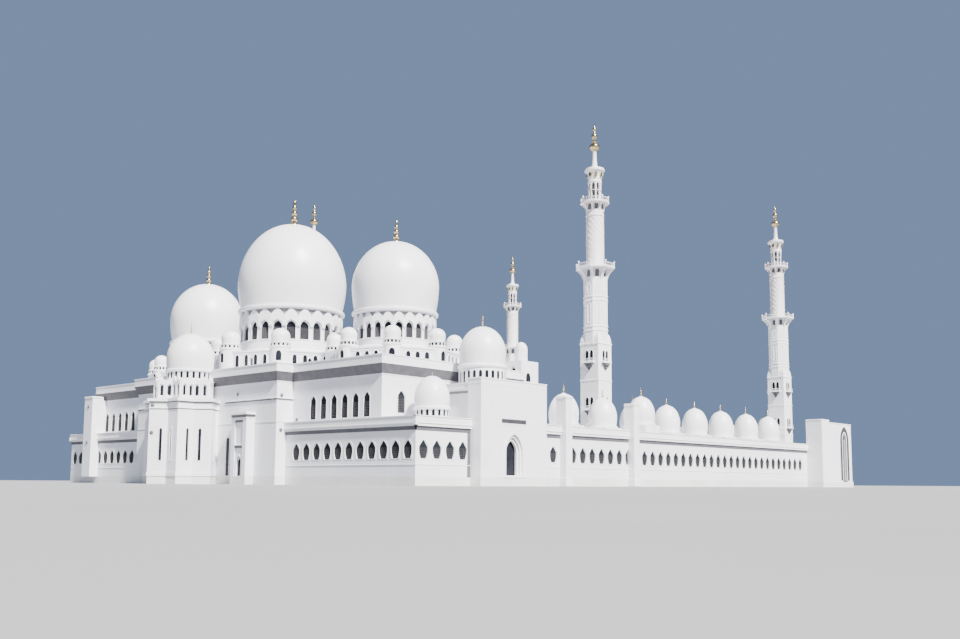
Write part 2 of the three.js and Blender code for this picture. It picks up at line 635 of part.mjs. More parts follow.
// One side of the courtyard: an outer wall of windows, an inner colonnade and a domed roof.
function sideArcade([name, s]) {
  const height = [FLOOR_Z, AISLE_CORNICE_Z];
  const end = COURT_X1;
  const outer = box([PORTAL.x1, EAST_X1 - WALL], [s * (AISLE_Y - WALL), s * AISLE_Y], height);
  const windows = spread(PORTAL.x1 + 2.55, PAVILION.x0 - 2, ARCADE_PITCH).map((x) =>
    archCut([x, s * AISLE_Y], LOW_WINDOW, WALL * 4),
  );
  const [firstPylon, secondPylon] = PYLON_X.map((x) =>
    box([x, x + PYLON.width], [s * (AISLE_Y - WALL), s * PYLON.front], [FLOOR_Z, PYLON.top]),
  );
  const wall = join([cut(outer, windows), firstPylon, secondPylon, endPavilion(s)]);
  place(mosque, `arcade_wall_${name}`, wall, whiteMarble());

  const inner = box([HALL_X1, end], [s * COURT_Y, s * (COURT_Y + WALL)], height);
  const arches = spread(HALL_X1 + 6, end - 4, 11.6).map((x) =>
    archCut([x, s * COURT_Y], ARCADE_ARCH, WALL * 4),
  );
  place(mosque, `arcade_colonnade_${name}`, cut(inner, arches), whiteMarble());

  const levels = { cornice: AISLE_CORNICE_Z, band: 13.7, roof: AISLE_ROOF_Z, top: AISLE_TOP_Z };
  const slab = courtRoof(levels)
    .intersect(box([PORTAL.x1, end], [s * COURT_Y, s * 90], [0, 40]))
    .subtract(box([0, HALL_X1], [0, s * HALL_Y], [0, 40]))
    .subtract(box([PAVILION.x0, 300], [s * AISLE_Y, s * 99], [0, 40]));
  const cuts = MINARET_X.map((x) => minaretWell(x, s));
  PYLON_X.forEach((x) => cuts.push(box([x, x + PYLON.width], [s * (AISLE_Y - WALL), s * 99], [0, 40])));
  const domes = ARCADE_DOME_X.map((x) => arcadeDome(x, s * ARCADE_DOME_Y, 0));
  domes.push(arcadeDome(TALL_DOME.x, s * ARCADE_DOME_Y, TALL_DOME.rise));
  domes.push(arcadeDome(TALL_DOME.x + 11, s * (COURT_Y + 5.4), 0.6));
  place(mosque, `arcade_roof_${name}`, join([cut(slab, cuts), ...domes]), domeMarble());
}

const minaretWell = (x, s) => {
  const half = MINARET.base / 2;
  const y = s * MINARET_Y;
  return box([x - half, x + half], [y - half, y + half], [0, 40]);
};

// The roof over the arcades: coped outside and round the court.
function courtRoof(level) {
  const outline = [
    [0, -AISLE_Y],
    [EAST_X1, -AISLE_Y],
    [EAST_X1, AISLE_Y],
    [0, AISLE_Y],
  ];
  const court = [
    [HALL_X1, -COURT_Y],
    [COURT_X1, -COURT_Y],
    [COURT_X1, COURT_Y],
    [HALL_X1, COURT_Y],
  ];
  const wide = grow(outline, AISLE_COVE);
  const cove = frustum(outline, wide, level.cornice, level.band);
  const slab = cove.add(prism(wide, level.band, level.top));
  const trough = prism(grow(wide, -PARAPET), level.roof, level.top + 1);
  const rim = prism(grow(court, PARAPET), level.roof, level.top + 1);
  return slab.subtract(trough.subtract(rim)).subtract(prism(court, 0, 40));
}

// An egg-shaped dome on a square base.
function arcadeDome(x, y, rise) {
  const foot = ARCADE_DOME.ring - 0.8 + rise;
  const base = box([x - 3.9, x + 3.9], [y - 3.9, y + 3.9], [AISLE_ROOF_Z, foot]);
  const { radius, ring: ringZ, widest, top } = ARCADE_DOME;
  const levels = [[radius * 0.94, foot], [radius * 0.94, ringZ + rise], [radius, widest + rise]];
  levels.push([radius * 0.72, top + rise - 2.2], [0, top + rise]);
  return base.add(taper(levels, 8, [x, y]));
}

// The courtyard's entrance side: outer wall, colonnade, roof and the gate with its dome.
function eastSide() {
  const height = [FLOOR_Z, AISLE_CORNICE_Z];
  const gate = EAST_GATE.half;
  const wings = sides.map(([, s]) => {
    const outer = box([EAST_X1 - WALL, EAST_X1], [s * gate, s * AISLE_Y], height);
    const windows = spread(gate + 4, AISLE_Y - 3, ARCADE_PITCH * 2).map((y) =>
      archCut([EAST_X1, s * y], LOW_WINDOW, WALL * 4, true),
    );
    return cut(outer, windows);
  });
  place(mosque, "east_wall", join([eastGate(), ...wings]), whiteMarble());
  const inner = box([COURT_X1, COURT_X1 + WALL], [-(COURT_Y + WALL), COURT_Y + WALL], height);
  const arches = spread(-46.4, 46.4, 11.6).map((y) =>
    archCut([COURT_X1, y], ARCADE_ARCH, WALL * 4, true),
  );
  place(mosque, "east_colonnade", cut(inner, arches), whiteMarble());

  const levels = { cornice: AISLE_CORNICE_Z, band: 13.7, roof: AISLE_ROOF_Z, top: AISLE_TOP_Z };
  const slab = courtRoof(levels).intersect(box([COURT_X1, 300], [-90, 90], [0, 40]));
  const gateRoom = box([EAST_X1 - WALL, 300], [-gate, gate], [0, 40]);
  const ends = sides.map(([, s]) => box([0, 300], [s * AISLE_Y, s * 99], [0, 40]));
  const domes = [-52, -39, -26, 26, 39, 52].map((y) => arcadeDome(191, y, 0));
  place(mosque, "east_roof", join([cut(slab, [gateRoom, ...ends]), ...domes]), domeMarble());
}

// The gate in the middle of the entrance side repeats the side portals.
function eastGate() {
  const { half, x1, top } = EAST_GATE;
  const x0 = EAST_X1 - WALL;
  const shell = box([x0, x1], [-half, half], [FLOOR_Z, top]);
  const room = box([x0 - 1, x1 - WALL], [WALL - half, half - WALL], [FLOOR_Z - 1, top - 1.2]);
  const arch = archCut([x1, 0], { width: 8, sill: FLOOR_Z, top: 14.5 }, 4, true);
  return cut(shell, [room, arch]);
}

// A tall flat-fronted pavilion closes the side arcade at its far end.
function endPavilion(s) {
  const { x0, front, top } = PAVILION;
  const step = x0 + 6.6;
  const tall = box([x0, step], [s * AISLE_Y, s * front], [FLOOR_Z, top]);
  const low = box([step, EAST_X1], [s * AISLE_Y, s * (front - 0.4)], [FLOOR_Z, top - 0.8]);
  const depth = [s * AISLE_Y, s * (front - 0.4 - WALL)];
  const room = box([x0 + WALL, EAST_X1 - WALL], depth, [FLOOR_Z - 1, top - 2]);
  const niche = archCut([191.5, s * front], { width: 3.4, sill: FLOOR_Z, top: 20.5 }, 4);
  return cut(tall.add(low), [room, niche]);
}

// A minaret in five stages, round its own axis: square, eight-sided, round, open lantern, gold spire.
function minaret(name, x, y) {
  const group = new THREE.Group();
  group.position.set(mm(x), mm(y), 0);
  const half = MINARET.base / 2;
  const [low, high, cap] = BALCONY;
  const { baseTop, shoulder, octagon, shaft, lantern } = MINARET;
  const light = { width: 2.6, sill: 35.7, top: 39.5 };
  const square = box([-half, half], [-half, half], [FLOOR_Z, baseTop]);
  const lights = [archCut([0, 0], light, 8), archCut([0, 0], light, 8, true)];
  const well = box([0.9 - half, half - 0.9], [0.9 - half, half - 0.9], [FLOOR_Z - 1, baseTop - 1]);
  const turn = Math.PI / 8;
  const shoulders = frustum(square4(half), square4(octagon * 0.93), baseTop, shoulder);
  const flare = [
    [octagon, baseTop + 0.4],
    [octagon, low.z - 4.9],
    [octagon + 0.9, low.z - 2.8],
  ];
  const stem = taper([...flare, ...railing(low)], 8, [0, 0], turn);
  const tower = join([cut(square, [well, ...lights]), shoulders, stem]);
  place(group, `${name}_tower`, tower, whiteMarble());

  const corbel = [
    [shaft, low.z],
    [shaft, high.z - 3],
    [shaft + 0.5, high.z - 1.8],
  ];
  const round = taper([...corbel, ...railing(high)], 8);
  const reach = lantern * 0.86;
  const post = [
    [0.36, high.z - 0.1],
    [0.36, cap.z - 3.4],
  ];
  const posts = ring(8).map((angle) =>
    taper(post, 4, [reach * Math.cos(angle), reach * Math.sin(angle)]),
  );
  const cover = [
    [lantern, cap.z - 3.6],
    [lantern + 0.4, cap.z - 2],
    [cap.radius, cap.z - 0.4],
    [cap.radius, cap.z + 0.5],
    [1.2, cap.z + 1],
  ];
  const roof = taper(cover, 8);
  place(group, `${name}_shaft`, join([round, roof, ...posts]), shaftMarble());
  place(group, `${name}_spire`, spire(cap.z + 1), gold());
  mosque.add(group);
}

// The edge of a balcony: a thin plate with a parapet standing on its rim.
const railing = ({ z, radius }) => [
  [radius, z - 0.6],
  [radius, z + 1],
  [radius - 0.3, z + 1],
  [radius - 0.3, z],
];

const square4 = (half) => [
  [-half, -half],
  [half, -half],
  [half, half],
  [-half, half],
];

// The gilded top of a minaret: a bell-shaped foot, a stem, a large ball and smaller ones above.
function spire(foot) {
  const profile = [
    [1, foot],
    [0.7, foot + 1.5],
    [0.6, foot + 4.4],
    [1.5, foot + 6],
    [0.5, foot + 7.5],
    [0.7, foot + 8.2],
    [0.3, foot + 9.2],
    [0, foot + 14.2],
  ];
  return taper(profile, 6);
}

plinths();
sides.forEach(aisle);
sides.forEach(hallWalls);
prayerWall();
courtWall();
hallRoof();
sides.forEach(cornerTower);
domeCluster("great", 0, GREAT);
sides.forEach(([name, s]) => domeCluster(name, s * SIDE_DOME_Y, SIDE));
nichePavilion();
sides.forEach(sidePortal);
sides.forEach(sideArcade);
eastSide();
sides.forEach(([name, s]) => {
  minaret(`hall_minaret_${name}`, MINARET_X[0], s * MINARET_Y);
  minaret(`gate_minaret_${name}`, MINARET_X[1], s * MINARET_Y);
});

export default mosque;
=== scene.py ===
# %% [markdown]
# # A white marble mosque as a 1:10 model
#
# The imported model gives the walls, floors and roofs. This file adds what a mason and a gilder
# would: smooth domes, drums with lattices, turned mouldings, slender minarets and gold finials.

from math import asin, atan2, copysign, cos, pi, radians, sin, sqrt, tau

import bpy
from mathutils import Matrix, Vector


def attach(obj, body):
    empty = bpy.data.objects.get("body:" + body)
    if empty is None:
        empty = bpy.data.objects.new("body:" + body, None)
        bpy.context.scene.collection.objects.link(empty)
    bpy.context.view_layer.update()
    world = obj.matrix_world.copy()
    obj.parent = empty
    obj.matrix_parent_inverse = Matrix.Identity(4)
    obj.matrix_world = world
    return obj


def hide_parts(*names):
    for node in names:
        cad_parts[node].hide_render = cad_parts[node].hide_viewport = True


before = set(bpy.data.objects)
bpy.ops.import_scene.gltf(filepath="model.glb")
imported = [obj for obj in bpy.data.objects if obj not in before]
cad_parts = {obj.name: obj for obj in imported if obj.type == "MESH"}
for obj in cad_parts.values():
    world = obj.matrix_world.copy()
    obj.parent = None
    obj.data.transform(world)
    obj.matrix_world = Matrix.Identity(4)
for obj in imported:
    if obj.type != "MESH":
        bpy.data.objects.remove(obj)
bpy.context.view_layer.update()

# %% [markdown]
# Every size below is in metres of the real building, as on an architect's drawing. M turns one
# of them into the model's size, and MIDDLE moves the plan's middle to the origin, so each
# piece is drawn with the building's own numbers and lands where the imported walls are.

# %% Measures
M = 0.1
MIDDLE = 79.45
WELD = M * 0.004
SOUTH, EAST, NORTH, WEST = 0, pi / 2, pi, -pi / 2
SIDES = (("south", -1, SOUTH), ("north", 1, NORTH))
FLOOR, RIM_FOOT = 2, 1.98
HALL_WEST, HALL_EAST, HALL_Y = -24, 33, 66.2
PRAYER_X, PRAYER_Y = -29, 33.3
AISLE_WEST, AISLE_Y = -26, 79.6
PORTAL_WEST, PORTAL_EAST, PORTAL_Y = -8.5, 15.7, 82.9
COURT_EAST, COURT_Y, EAST_WALL = 184, 58, 198


def place(x, y, z):
    return Vector(((x - MIDDLE) * M, y * M, z * M))


# %% [markdown]
# Blender's operators act on whatever is selected. The import leaves every solid selected, so
# each step begins by letting go of everything. A mesh that is drawn in edit mode ends with its
# faces turned outwards.

# %% Select and settle
def clear():
    if bpy.context.object and bpy.context.object.mode == "EDIT":
        leave()
    bpy.ops.object.select_all(action="DESELECT")


def pick(piece):
    clear()
    piece.select_set(True)
    bpy.context.view_layer.objects.active = piece


def choose_all():
    bpy.ops.mesh.select_all(action="SELECT")


def edit():
    bpy.ops.object.mode_set(mode="EDIT")
    choose_all()


def leave():
    bpy.ops.object.mode_set(mode="OBJECT")


def settle():
    choose_all()
    bpy.ops.mesh.normals_make_consistent(inside=False)
    leave()


def change(piece, kind, **settings):
    pick(piece)
    modifier = piece.modifiers.new("change", kind)
    for key, value in settings.items():
        setattr(modifier, key, value)
    bpy.ops.object.modifier_apply(modifier="change")
    return piece


# %% [markdown]
# A moulding starts as a chain of points, as on a mason's template. A plane merged to one point
# and extruded from point to point draws it, and the chain can then be spun, filled or pulled.

# %% A chain of points
def thread(points):
    clear()
    bpy.ops.mesh.primitive_plane_add(size=M)
    piece = bpy.context.object
    edit()
    bpy.ops.mesh.merge(type="CENTER")
    here = Vector(points[0])
    bpy.ops.transform.translate(value=here * M)
    for point in points[1:]:
        step = (Vector(point) - here) * M
        bpy.ops.mesh.extrude_vertices_move(TRANSFORM_OT_translate={"value": step})
        here = Vector(point)
    return piece


# %% [markdown]
# Domes, drums, balconies and finials are round, so a template of radius and height is spun
# about the upright line. It ends on the axis, or where it began, so the result is closed.

# %% Turn a template
def spun(points, steps):
    piece = thread(points)
    choose_all()
    bpy.ops.mesh.spin(steps=steps, angle=tau, center=(0, 0, 0), axis=(0, 0, 1))
    choose_all()
    bpy.ops.mesh.remove_doubles(threshold=WELD)
    return piece


def turned(template, steps):
    piece = spun([(radius, 0, height) for radius, height in template], steps)
    settle()
    return piece


def collar(inner, outer, low, high):
    return [(inner, low), (outer, low), (outer, high), (inner, high), (inner, low)]


# %% [markdown]
# Frames, panes and brackets are flat shapes with a thickness. The chain is filled, inset to
# leave a rim if one is asked for, and pulled along one direction. A panel is one that faces
# south, and it is given by the place of its front and its depth.

# %% Fill and thicken an outline
def slab(outline, along, rim=0):
    piece = thread(outline)
    choose_all()
    bpy.ops.mesh.edge_face_add()
    if rim:
        bpy.ops.mesh.inset(thickness=rim * M)
        bpy.ops.mesh.delete(type="FACE")
        choose_all()
    bpy.ops.mesh.extrude_region_move(TRANSFORM_OT_translate={"value": Vector(along) * M})
    settle()
    return piece


def panel(outline, front, depth, rim=0, shift=0):
    return slab([(x + shift, front, z) for x, z in outline], (0, depth, 0), rim)


def block(x, y, z, edge=0.03):
    clear()
    middle = [(low + high) / 2 * M for low, high in (x, y, z)]
    size = [high - low for low, high in (x, y, z)]
    bpy.ops.mesh.primitive_cube_add(size=M, location=middle, scale=size)
    piece = bpy.context.object
    bpy.ops.object.transform_apply()
    edit()
    bpy.ops.mesh.bevel(offset=edge * M, segments=1, affect="EDGES")
    leave()
    return piece


def strip(x, s, near, far, z, edge=0.03):
    return block(x, sorted((s * near, s * far)), z, edge)


# %% [markdown]
# What repeats is modelled once at the origin, facing south, and each copy gets its own mesh at
# its own spot: x and y, then a height and a turn where they are needed. The copies are joined
# in one piece.

# %% Copy to spots, and join
def twin(piece):
    copy = piece.copy()
    copy.data = piece.data.copy()
    bpy.context.collection.objects.link(copy)
    return copy


def select(pieces):
    clear()
    for piece in pieces:
        piece.select_set(True)
    bpy.context.view_layer.objects.active = pieces[0]


def join(pieces):
    select(pieces)
    if len(pieces) > 1:
        bpy.ops.object.join()
    return pieces[0]


def copies(piece, spots):
    made = []
    for spot in spots:
        x, y, z, turn = (*spot, 0, 0)[:4]
        copy = twin(piece)
        copy.location = Vector((x, y, z)) * M
        copy.rotation_euler.z = turn
        made.append(copy)
    bpy.data.objects.remove(piece)
    select(made)
    bpy.ops.object.transform_apply()
    return join(made)


def spread(low, high, pitch):
    return [low + i * pitch for i in range(int((high - low) / pitch + 1e-6) + 1)]


def around(count, radius, offset=0):
    angles = [(i + offset) / count * tau for i in range(count)]
    return [(radius * cos(a), radius * sin(a), 0, a + pi / 2) for a in angles]


# %% Cut holes
def carve(piece, cutter):
    change(piece, "BOOLEAN", object=cutter, operation="DIFFERENCE", solver="EXACT")
    bpy.data.objects.remove(cutter)
    return piece


# %% [markdown]
# Arches here are pointed: two arcs rise from the spring line and meet at the crown, above
# straight jambs. An outline is drawn for its right side, and the left side mirrors it.

# %% Draw an arch
def both_sides(side, tip):
    return side + [(0, tip)] + [(-x, z) for x, z in reversed(side)]


def arch(width, sill, top, rise=1.25, parts=5):
    half = width / 2
    height = rise * half
    spring = top - height
    shift = (height**2 - half**2) / (2 * half)
    radius = half + shift
    crown = asin(height / radius)
    side = [(half, sill)] if sill < spring - 0.01 else []
    for angle in [crown * i / parts for i in range(parts)]:
        side.append((radius * cos(angle) - shift, spring + radius * sin(angle)))
    return both_sides(side, top)


# %% [markdown]
# White marble is never one flat white. Slow clouds drift between two whites, thin grey veins
# cross them, rain leaves faint upright streaks, and hairline joints show the cladding's courses.
# All of it is mixed by nodes on Object coordinates, so the pattern stays with the stone.

# %% Node helpers
def node(tree, kind, values=None, **settings):
    made = tree.nodes.new("ShaderNode" + kind)
    for key, value in settings.items():
        setattr(made, key, value)
    for key, value in (values or {}).items():
        if isinstance(value, bpy.types.NodeSocket):
            tree.links.new(value, made.inputs[key])
        else:
            made.inputs[key].default_value = value
    return made


def start_material(name, roughness, metallic=0):
    material = bpy.data.materials.new(name)
    material.use_nodes = True
    tree = material.node_tree
    shader = tree.nodes["Principled BSDF"]
    shader.inputs["Roughness"].default_value = roughness
    shader.inputs["Metallic"].default_value = metallic
    where = node(tree, "TexCoord").outputs["Object"]
    return material, tree, shader, where


def ramp(tree, factor, stops):
    made = node(tree, "ValToRGB", {0: factor})
    row = made.color_ramp.elements
    while len(row) < len(stops):
        row.new(0.5)
    for element, (position, value) in zip(row, stops):
        element.position = position
        grey = isinstance(value, (int, float))
        element.color = (value, value, value, 1) if grey else (*value, 1)
    return made.outputs[0]


def mix(tree, factor, first, second, blend="MIX"):
    colours = {slot: value if isinstance(value, bpy.types.NodeSocket) else (*value, 1)
               for slot, value in ((6, first), (7, second))}
    made = node(tree, "Mix", {0: factor, **colours}, data_type="RGBA", blend_type=blend)
    return made.outputs[2]


def noise(tree, where, scale, detail, distortion=0):
    values = {"Vector": where, "Scale": scale, "Detail": detail, "Distortion": distortion}
    return node(tree, "TexNoise", values).outputs[0]


def surface(tree, shader, worn, low, high, height, strength, distance):
    rough = node(tree, "MapRange", {0: worn, 3: low, 4: high})
    tree.links.new(rough.outputs[0], shader.inputs["Roughness"])
    bump = node(tree, "Bump", {"Height": height, "Strength": strength, "Distance": distance})
    tree.links.new(bump.outputs[0], shader.inputs["Normal"])


# %% Marble
def marble(name, pale, dull, vein, roughness=0.45, course=(0.14, 0.07), streak=0.25):
    material, tree, shader, where = start_material(name, roughness)
    clouds = ramp(tree, noise(tree, where, 1.1, 5), [(0.35, 0), (0.65, 1)])
    base = mix(tree, clouds, pale, dull)

    lines = ramp(tree, noise(tree, where, 2.3, 6, 1.5), [(0.485, 0), (0.5, 0.35), (0.515, 0)])
    base = mix(tree, lines, base, vein)

    tall = node(tree, "Mapping", {"Vector": where, "Scale": (14, 14, 0.9)})
    marks = ramp(tree, noise(tree, tall.outputs[0], 1, 3), [(0.55, 0), (0.8, streak)])
    base = mix(tree, marks, base, vein)

    apart = node(tree, "SeparateXYZ", {0: where})
    across = node(tree, "Math", {0: apart.outputs[0], 1: apart.outputs[1]})
    flat = node(tree, "CombineXYZ", {0: across.outputs[0], 1: apart.outputs[2]})
    stones = node(tree, "TexBrick", {
        "Vector": flat.outputs[0], "Color1": (1, 1, 1, 1), "Color2": (0.965, 0.965, 0.97, 1),
        "Mortar": (0.8, 0.8, 0.82, 1), "Scale": 1, "Mortar Size": 0.0009,
        "Brick Width": course[0], "Row Height": course[1]})
    base = mix(tree, 0.6, base, stones.outputs[0], "MULTIPLY")
    tree.links.new(base, shader.inputs["Base Color"])

    grain = noise(tree, where, 60, 3)
    joint = node(tree, "Math", {0: stones.outputs[1], 1: -1.0}, operation="MULTIPLY")
    height = node(tree, "Math", {0: joint.outputs[0], 1: grain})
    surface(tree, shader, grain, roughness - 0.08, roughness + 0.1, height.outputs[0], 0.08, 0.002)
    return material


wall_stone = marble("wall marble", (0.86, 0.86, 0.88), (0.8, 0.8, 0.84), (0.6, 0.6, 0.66))
dome_stone = marble("dome marble", (0.88, 0.87, 0.87), (0.83, 0.82, 0.84), (0.68, 0.66, 0.7),
                    0.38, (0.2, 0.11), 0.15)
trim_stone = marble("carved marble", (0.88, 0.88, 0.89), (0.82, 0.82, 0.85), (0.64, 0.63, 0.68),
                    0.42, (0.3, 0.2), 0.2)
tower_stone = marble("tower marble", (0.86, 0.83, 0.82), (0.8, 0.75, 0.74), (0.62, 0.54, 0.54),
                     0.42, (0.1, 0.06), 0.2)
floor_stone = marble("floor marble", (0.78, 0.77, 0.75), (0.7, 0.69, 0.67), (0.5, 0.48, 0.46),
                     0.28, (0.3, 0.3), 0.05)
print(len(bpy.data.materials), "materials so far")

# %% [markdown]
# The lattices, the portal slots and the pavilion reveals take a near-black stone as painted deep
# shade. A mid grey is painted shade in recesses, and a dark grey is painted shade under mouldings
# and in arches; the dark grey also colours the floor inlay and the bosses. The glass is painted
# near black, as the shade of the rooms behind it, and the finials are gilded brass, a little uneven
# where the leaf overlaps.

# %% Stone in shade, glass and gold
def plain_finish(name, light, dark, scale, roughness, metallic=0):
    material, tree, shader, where = start_material(name, roughness, metallic)
    cloud = noise(tree, where, scale, 5)
    tone = ramp(tree, cloud, [(0.3, dark), (0.7, light)])
    tree.links.new(tone, shader.inputs["Base Color"])
    surface(tree, shader, cloud, max(roughness - 0.08, 0.03), roughness + 0.12, cloud, 0.1, 0.003)
    return material


# Near-black stone: painted deep shade on the lattices, the portal slots and the pavilion reveals.
painted_deep_shade_stone = plain_finish("painted deep shade marble", (0.05, 0.05, 0.058), (0.03, 0.03, 0.037), 9, 0.55)
# Mid-grey stone: painted shade behind the drum hoods and under the portal hall's moulding.
painted_recess_shade_stone = plain_finish("painted recess shade marble", (0.25, 0.246, 0.265), (0.17, 0.167, 0.182), 5, 0.6)
# Dark grey stone: painted shade under mouldings, in arches and inside the minarets; it also colours
# the floor inlay and the bosses.
painted_shade_and_inlay_stone = plain_finish("painted shade and inlay marble", (0.12, 0.117, 0.13), (0.08, 0.077, 0.09), 7, 0.6)
# Glass painted near black, as the shade of the rooms and hollows behind it.
glass_in_painted_shade = plain_finish("glass in painted shade", (0.018, 0.02, 0.026), (0.008, 0.009, 0.012), 5, 0.2)
glass_in_painted_shade.node_tree.nodes["Principled BSDF"].inputs["Specular IOR Level"].default_value = 0.15
gilding = plain_finish("gilding", (0.64, 0.52, 0.31), (0.44, 0.32, 0.15), 14, 0.24, 1)

# %% Finish a piece
SMOOTH_BELOW = radians(35)


def dress(name, piece, material, replaced=()):
    piece.name = name
    piece.location = place(0, 0, 0)
    pick(piece)
    bpy.ops.object.transform_apply()
    bpy.ops.object.shade_smooth_by_angle(angle=SMOOTH_BELOW)
    piece.data.materials.clear()
    piece.data.materials.append(material)
    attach(piece, "root")
    if replaced:
        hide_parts(*replaced)
    print(piece.name, len(piece.data.polygons), "faces")


def put(name, piece, spots, material, replaced=()):
    dress(name, copies(piece, spots), material, replaced)


# %% [markdown]
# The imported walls, roofs and floors keep their shapes and take a finish each.

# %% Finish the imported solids
for name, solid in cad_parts.items():
    finish = wall_stone
    if "floor" in name:
        finish = floor_stone
    elif "spire" in name or "finial" in name:
        finish = gilding
    elif "shaft" in name:
        finish = tower_stone
    elif "dome" in name or "roof" in name and name != "hall_roof":
        finish = dome_stone
    solid.data.materials.clear()
    solid.data.materials.append(finish)
print(len(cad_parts), "solids finished")

# %% [markdown]
# ## The three great domes
#
# Each dome is a stilted bulb of marble shell: it swells a little above its ring, then closes in
# a long curve to a slight point. A template of fourteen bands, spun in fine steps, gives that.

# %% Dome sizes
GREAT = dict(drum=14.3, foot=36.3, band=47, ring=50.1, radius=15.7, widest=58.5, top=76.3,
             sill=40.4, arch=45.5, width=2.5, finial=8, podium=22.6, lights=(2.9, 4),
             turret=(20.6, 2.6, 37.5, 42.3))
SIDE = dict(drum=10.4, foot=34.2, band=42.4, ring=45, radius=11.5, widest=52.4, top=64.2,
            sill=37.3, arch=41.3, width=1.85, finial=6.2, podium=17.6, lights=(2.5, 3),
            turret=(15.7, 2.1, 35.1, 39.5))
CLUSTERS = (("great", 0, GREAT), ("south", -44.45, SIDE), ("north", 44.45, SIDE))
BAYS = 24
LIP = 0.965


def bulb(radius, ring, widest, top, bands=14, foot=0.93):
    curve = [(0, ring), (radius * foot, ring)]
    for share in (0.25, 0.5, 0.75):
        swell = foot + (1 - foot) * sin(share * pi / 2)
        curve.append((radius * swell, ring + (widest - ring) * share))
    for i in range(bands):
        angle = i / bands * pi / 2
        lean = 1 - 0.022 * sin(2 * angle)
        curve.append((radius * cos(angle) * lean, widest + (top - widest) * sin(angle)))
    return curve + [(radius * 0.04, top), (0, top)]


# %% Spire of balls for a dome
def ball_stem(height, foot, fat=1.0):
    unit = height / 8
    wide = unit * fat
    curve = [(0.9, 0.15), (0.5, 0.5), (0.3, 0.9)]
    for middle, tall, size in ((1.9, 0.95, 0.72), (3.7, 0.8, 0.6), (5.35, 0.75, 0.46)):
        for angle in [-pi / 2 + pi * i / 6 for i in range(7)]:
            curve.append((max(size * cos(angle), 0.22), middle + tall * sin(angle)))
    curve += [(0.3, 6.5), (0.2, 7.4), (0, 8)]
    base = [(0, foot - 0.1), (0.95 * wide, foot - 0.1)]
    return base + [(u * wide, foot + z * unit) for u, z in curve]


# %% [markdown]
# Under each dome a drum lets light in through twenty-four arched windows. Its wall is turned as
# a thick ring, and twenty-four arch-shaped blocks cut the openings. A rim frames each opening.

# %% Drum with arched windows
def drum_ring(size):
    wall, lip = size["drum"], size["radius"] * LIP
    foot, ring = size["foot"], size["ring"]
    template = [(wall - 1.2, foot), (wall + 0.9, foot), (wall + 0.9, foot + 0.5),
                (wall + 0.35, foot + 1.1), (wall, foot + 1.4), (wall, ring - 1.1),
                (lip, ring - 0.85), (lip + 0.25, ring - 0.75), (lip + 0.3, ring - 0.25),
                (lip + 0.1, ring), (wall - 1.2, ring), (wall - 1.2, foot)]
    drum = turned(template, BAYS * 4)
    cutter = panel(arch(size["width"], size["sill"], size["arch"]), -1.6, 3.6)
    return carve(drum, copies(cutter, around(BAYS, wall, 0.5)))


def drum_frames(size):
    rim = 0.22
    outer = arch(size["width"] + 2 * rim, size["sill"] - rim, size["arch"] + rim)
    return copies(panel(outer, -0.12, 0.5, rim), around(BAYS, size["drum"], 0.5))


# %% [markdown]
# A hood curves over each window, up to a point under the dome's ring. Its outline is an ogee: out
# from the wall, in, and up. It comes over half as far out as the dome overhangs, so the gaps
# between the hoods lie in shade.

# %% Hoods over the drum windows
def drum_hoods(size):
    deep = (size["radius"] * LIP - size["drum"]) * 0.6
    half = pi * (size["drum"] + deep) / BAYS * 0.995
    low, high, crown = size["arch"] - 1.5, size["ring"] - 0.75, size["arch"] + 0.4
    tall = high - low
    curve = ((1, 0.5), (0.84, 0.66), (0.5, 0.8), (0.16, 0.93))
    side = [(half, low + 0.2)] + [(half * u, low + tall * v) for u, v in curve]
    open_half = size["width"] / 2 + 0.16
    inner = [(-open_half, low), (-open_half, crown - 1.4), (-open_half * 0.75, crown - 0.6)]
    outline = both_sides(side, high) + both_sides(inner, crown)
    return copies(panel(outline, -deep, deep + 0.2), around(BAYS, size["drum"], 0.5))


# %% [markdown]
# A stone lattice fills the lower part of each window, in near-black stone as painted deep shade,
# with glass behind that is painted near black as the shaded room. One turned sheet of bars serves
# all the windows: a Wireframe modifier turns the edges of a spun grid into bars.

# %% Lattice ring
def lattice_ring(radius, low, high, rows=5):
    points = [(radius, 0, low + (high - low) * i / rows) for i in range(rows + 1)]
    piece = spun(points, BAYS * 6)
    bpy.ops.mesh.poke()
    settle()
    return change(piece, "WIREFRAME", thickness=0.16 * M)


# %% Make the three clusters
for name, y, size in CLUSTERS:
    spot = [(0, y)]
    wall, sill, head, top = size["drum"], size["sill"], size["arch"], size["top"]
    dome = turned(bulb(size["radius"], size["ring"], size["widest"], top), 96)
    put(f"{name}_bulb", dome, spot, dome_stone, [f"{name}_dome"])
    put(f"{name}_drum_wall", drum_ring(size), spot, wall_stone, [f"{name}_drum"])
    trims = join([drum_frames(size), drum_hoods(size)])
    put(f"{name}_drum_trim", trims, spot, trim_stone)
    low, high = sill - 0.3, sill + (head - sill) * 0.66
    put(f"{name}_lattice", lattice_ring(wall - 0.35, low, high), spot, painted_deep_shade_stone)
    # The ring of glass behind the windows is painted near black, as the shade inside the drum.
    pane = turned(collar(wall - 0.6, wall - 0.5, low - 0.5, size["band"] + 0.3), 96)
    put(f"{name}_drum_glass", pane, spot, glass_in_painted_shade)
    # The band behind the hoods is painted shade, a mid grey in the gaps between them.
    band = turned(collar(wall - 0.05, wall + 0.06, head + 0.2, size["ring"] - 0.9), 48)
    put(f"{name}_drum_band", band, spot, painted_recess_shade_stone)
    stem = turned(ball_stem(size["finial"], top, 1.55), 20)
    put(f"{name}_gilded_stem", stem, spot, gilding, [f"{name}_finial"])

# %% [markdown]
# ## Smaller domes
#
# The niche, the side portals and the roof corners carry smaller domes of the same family: a
# drum with narrow openings, a collar, and a smooth bulb with a thin gilded stem.

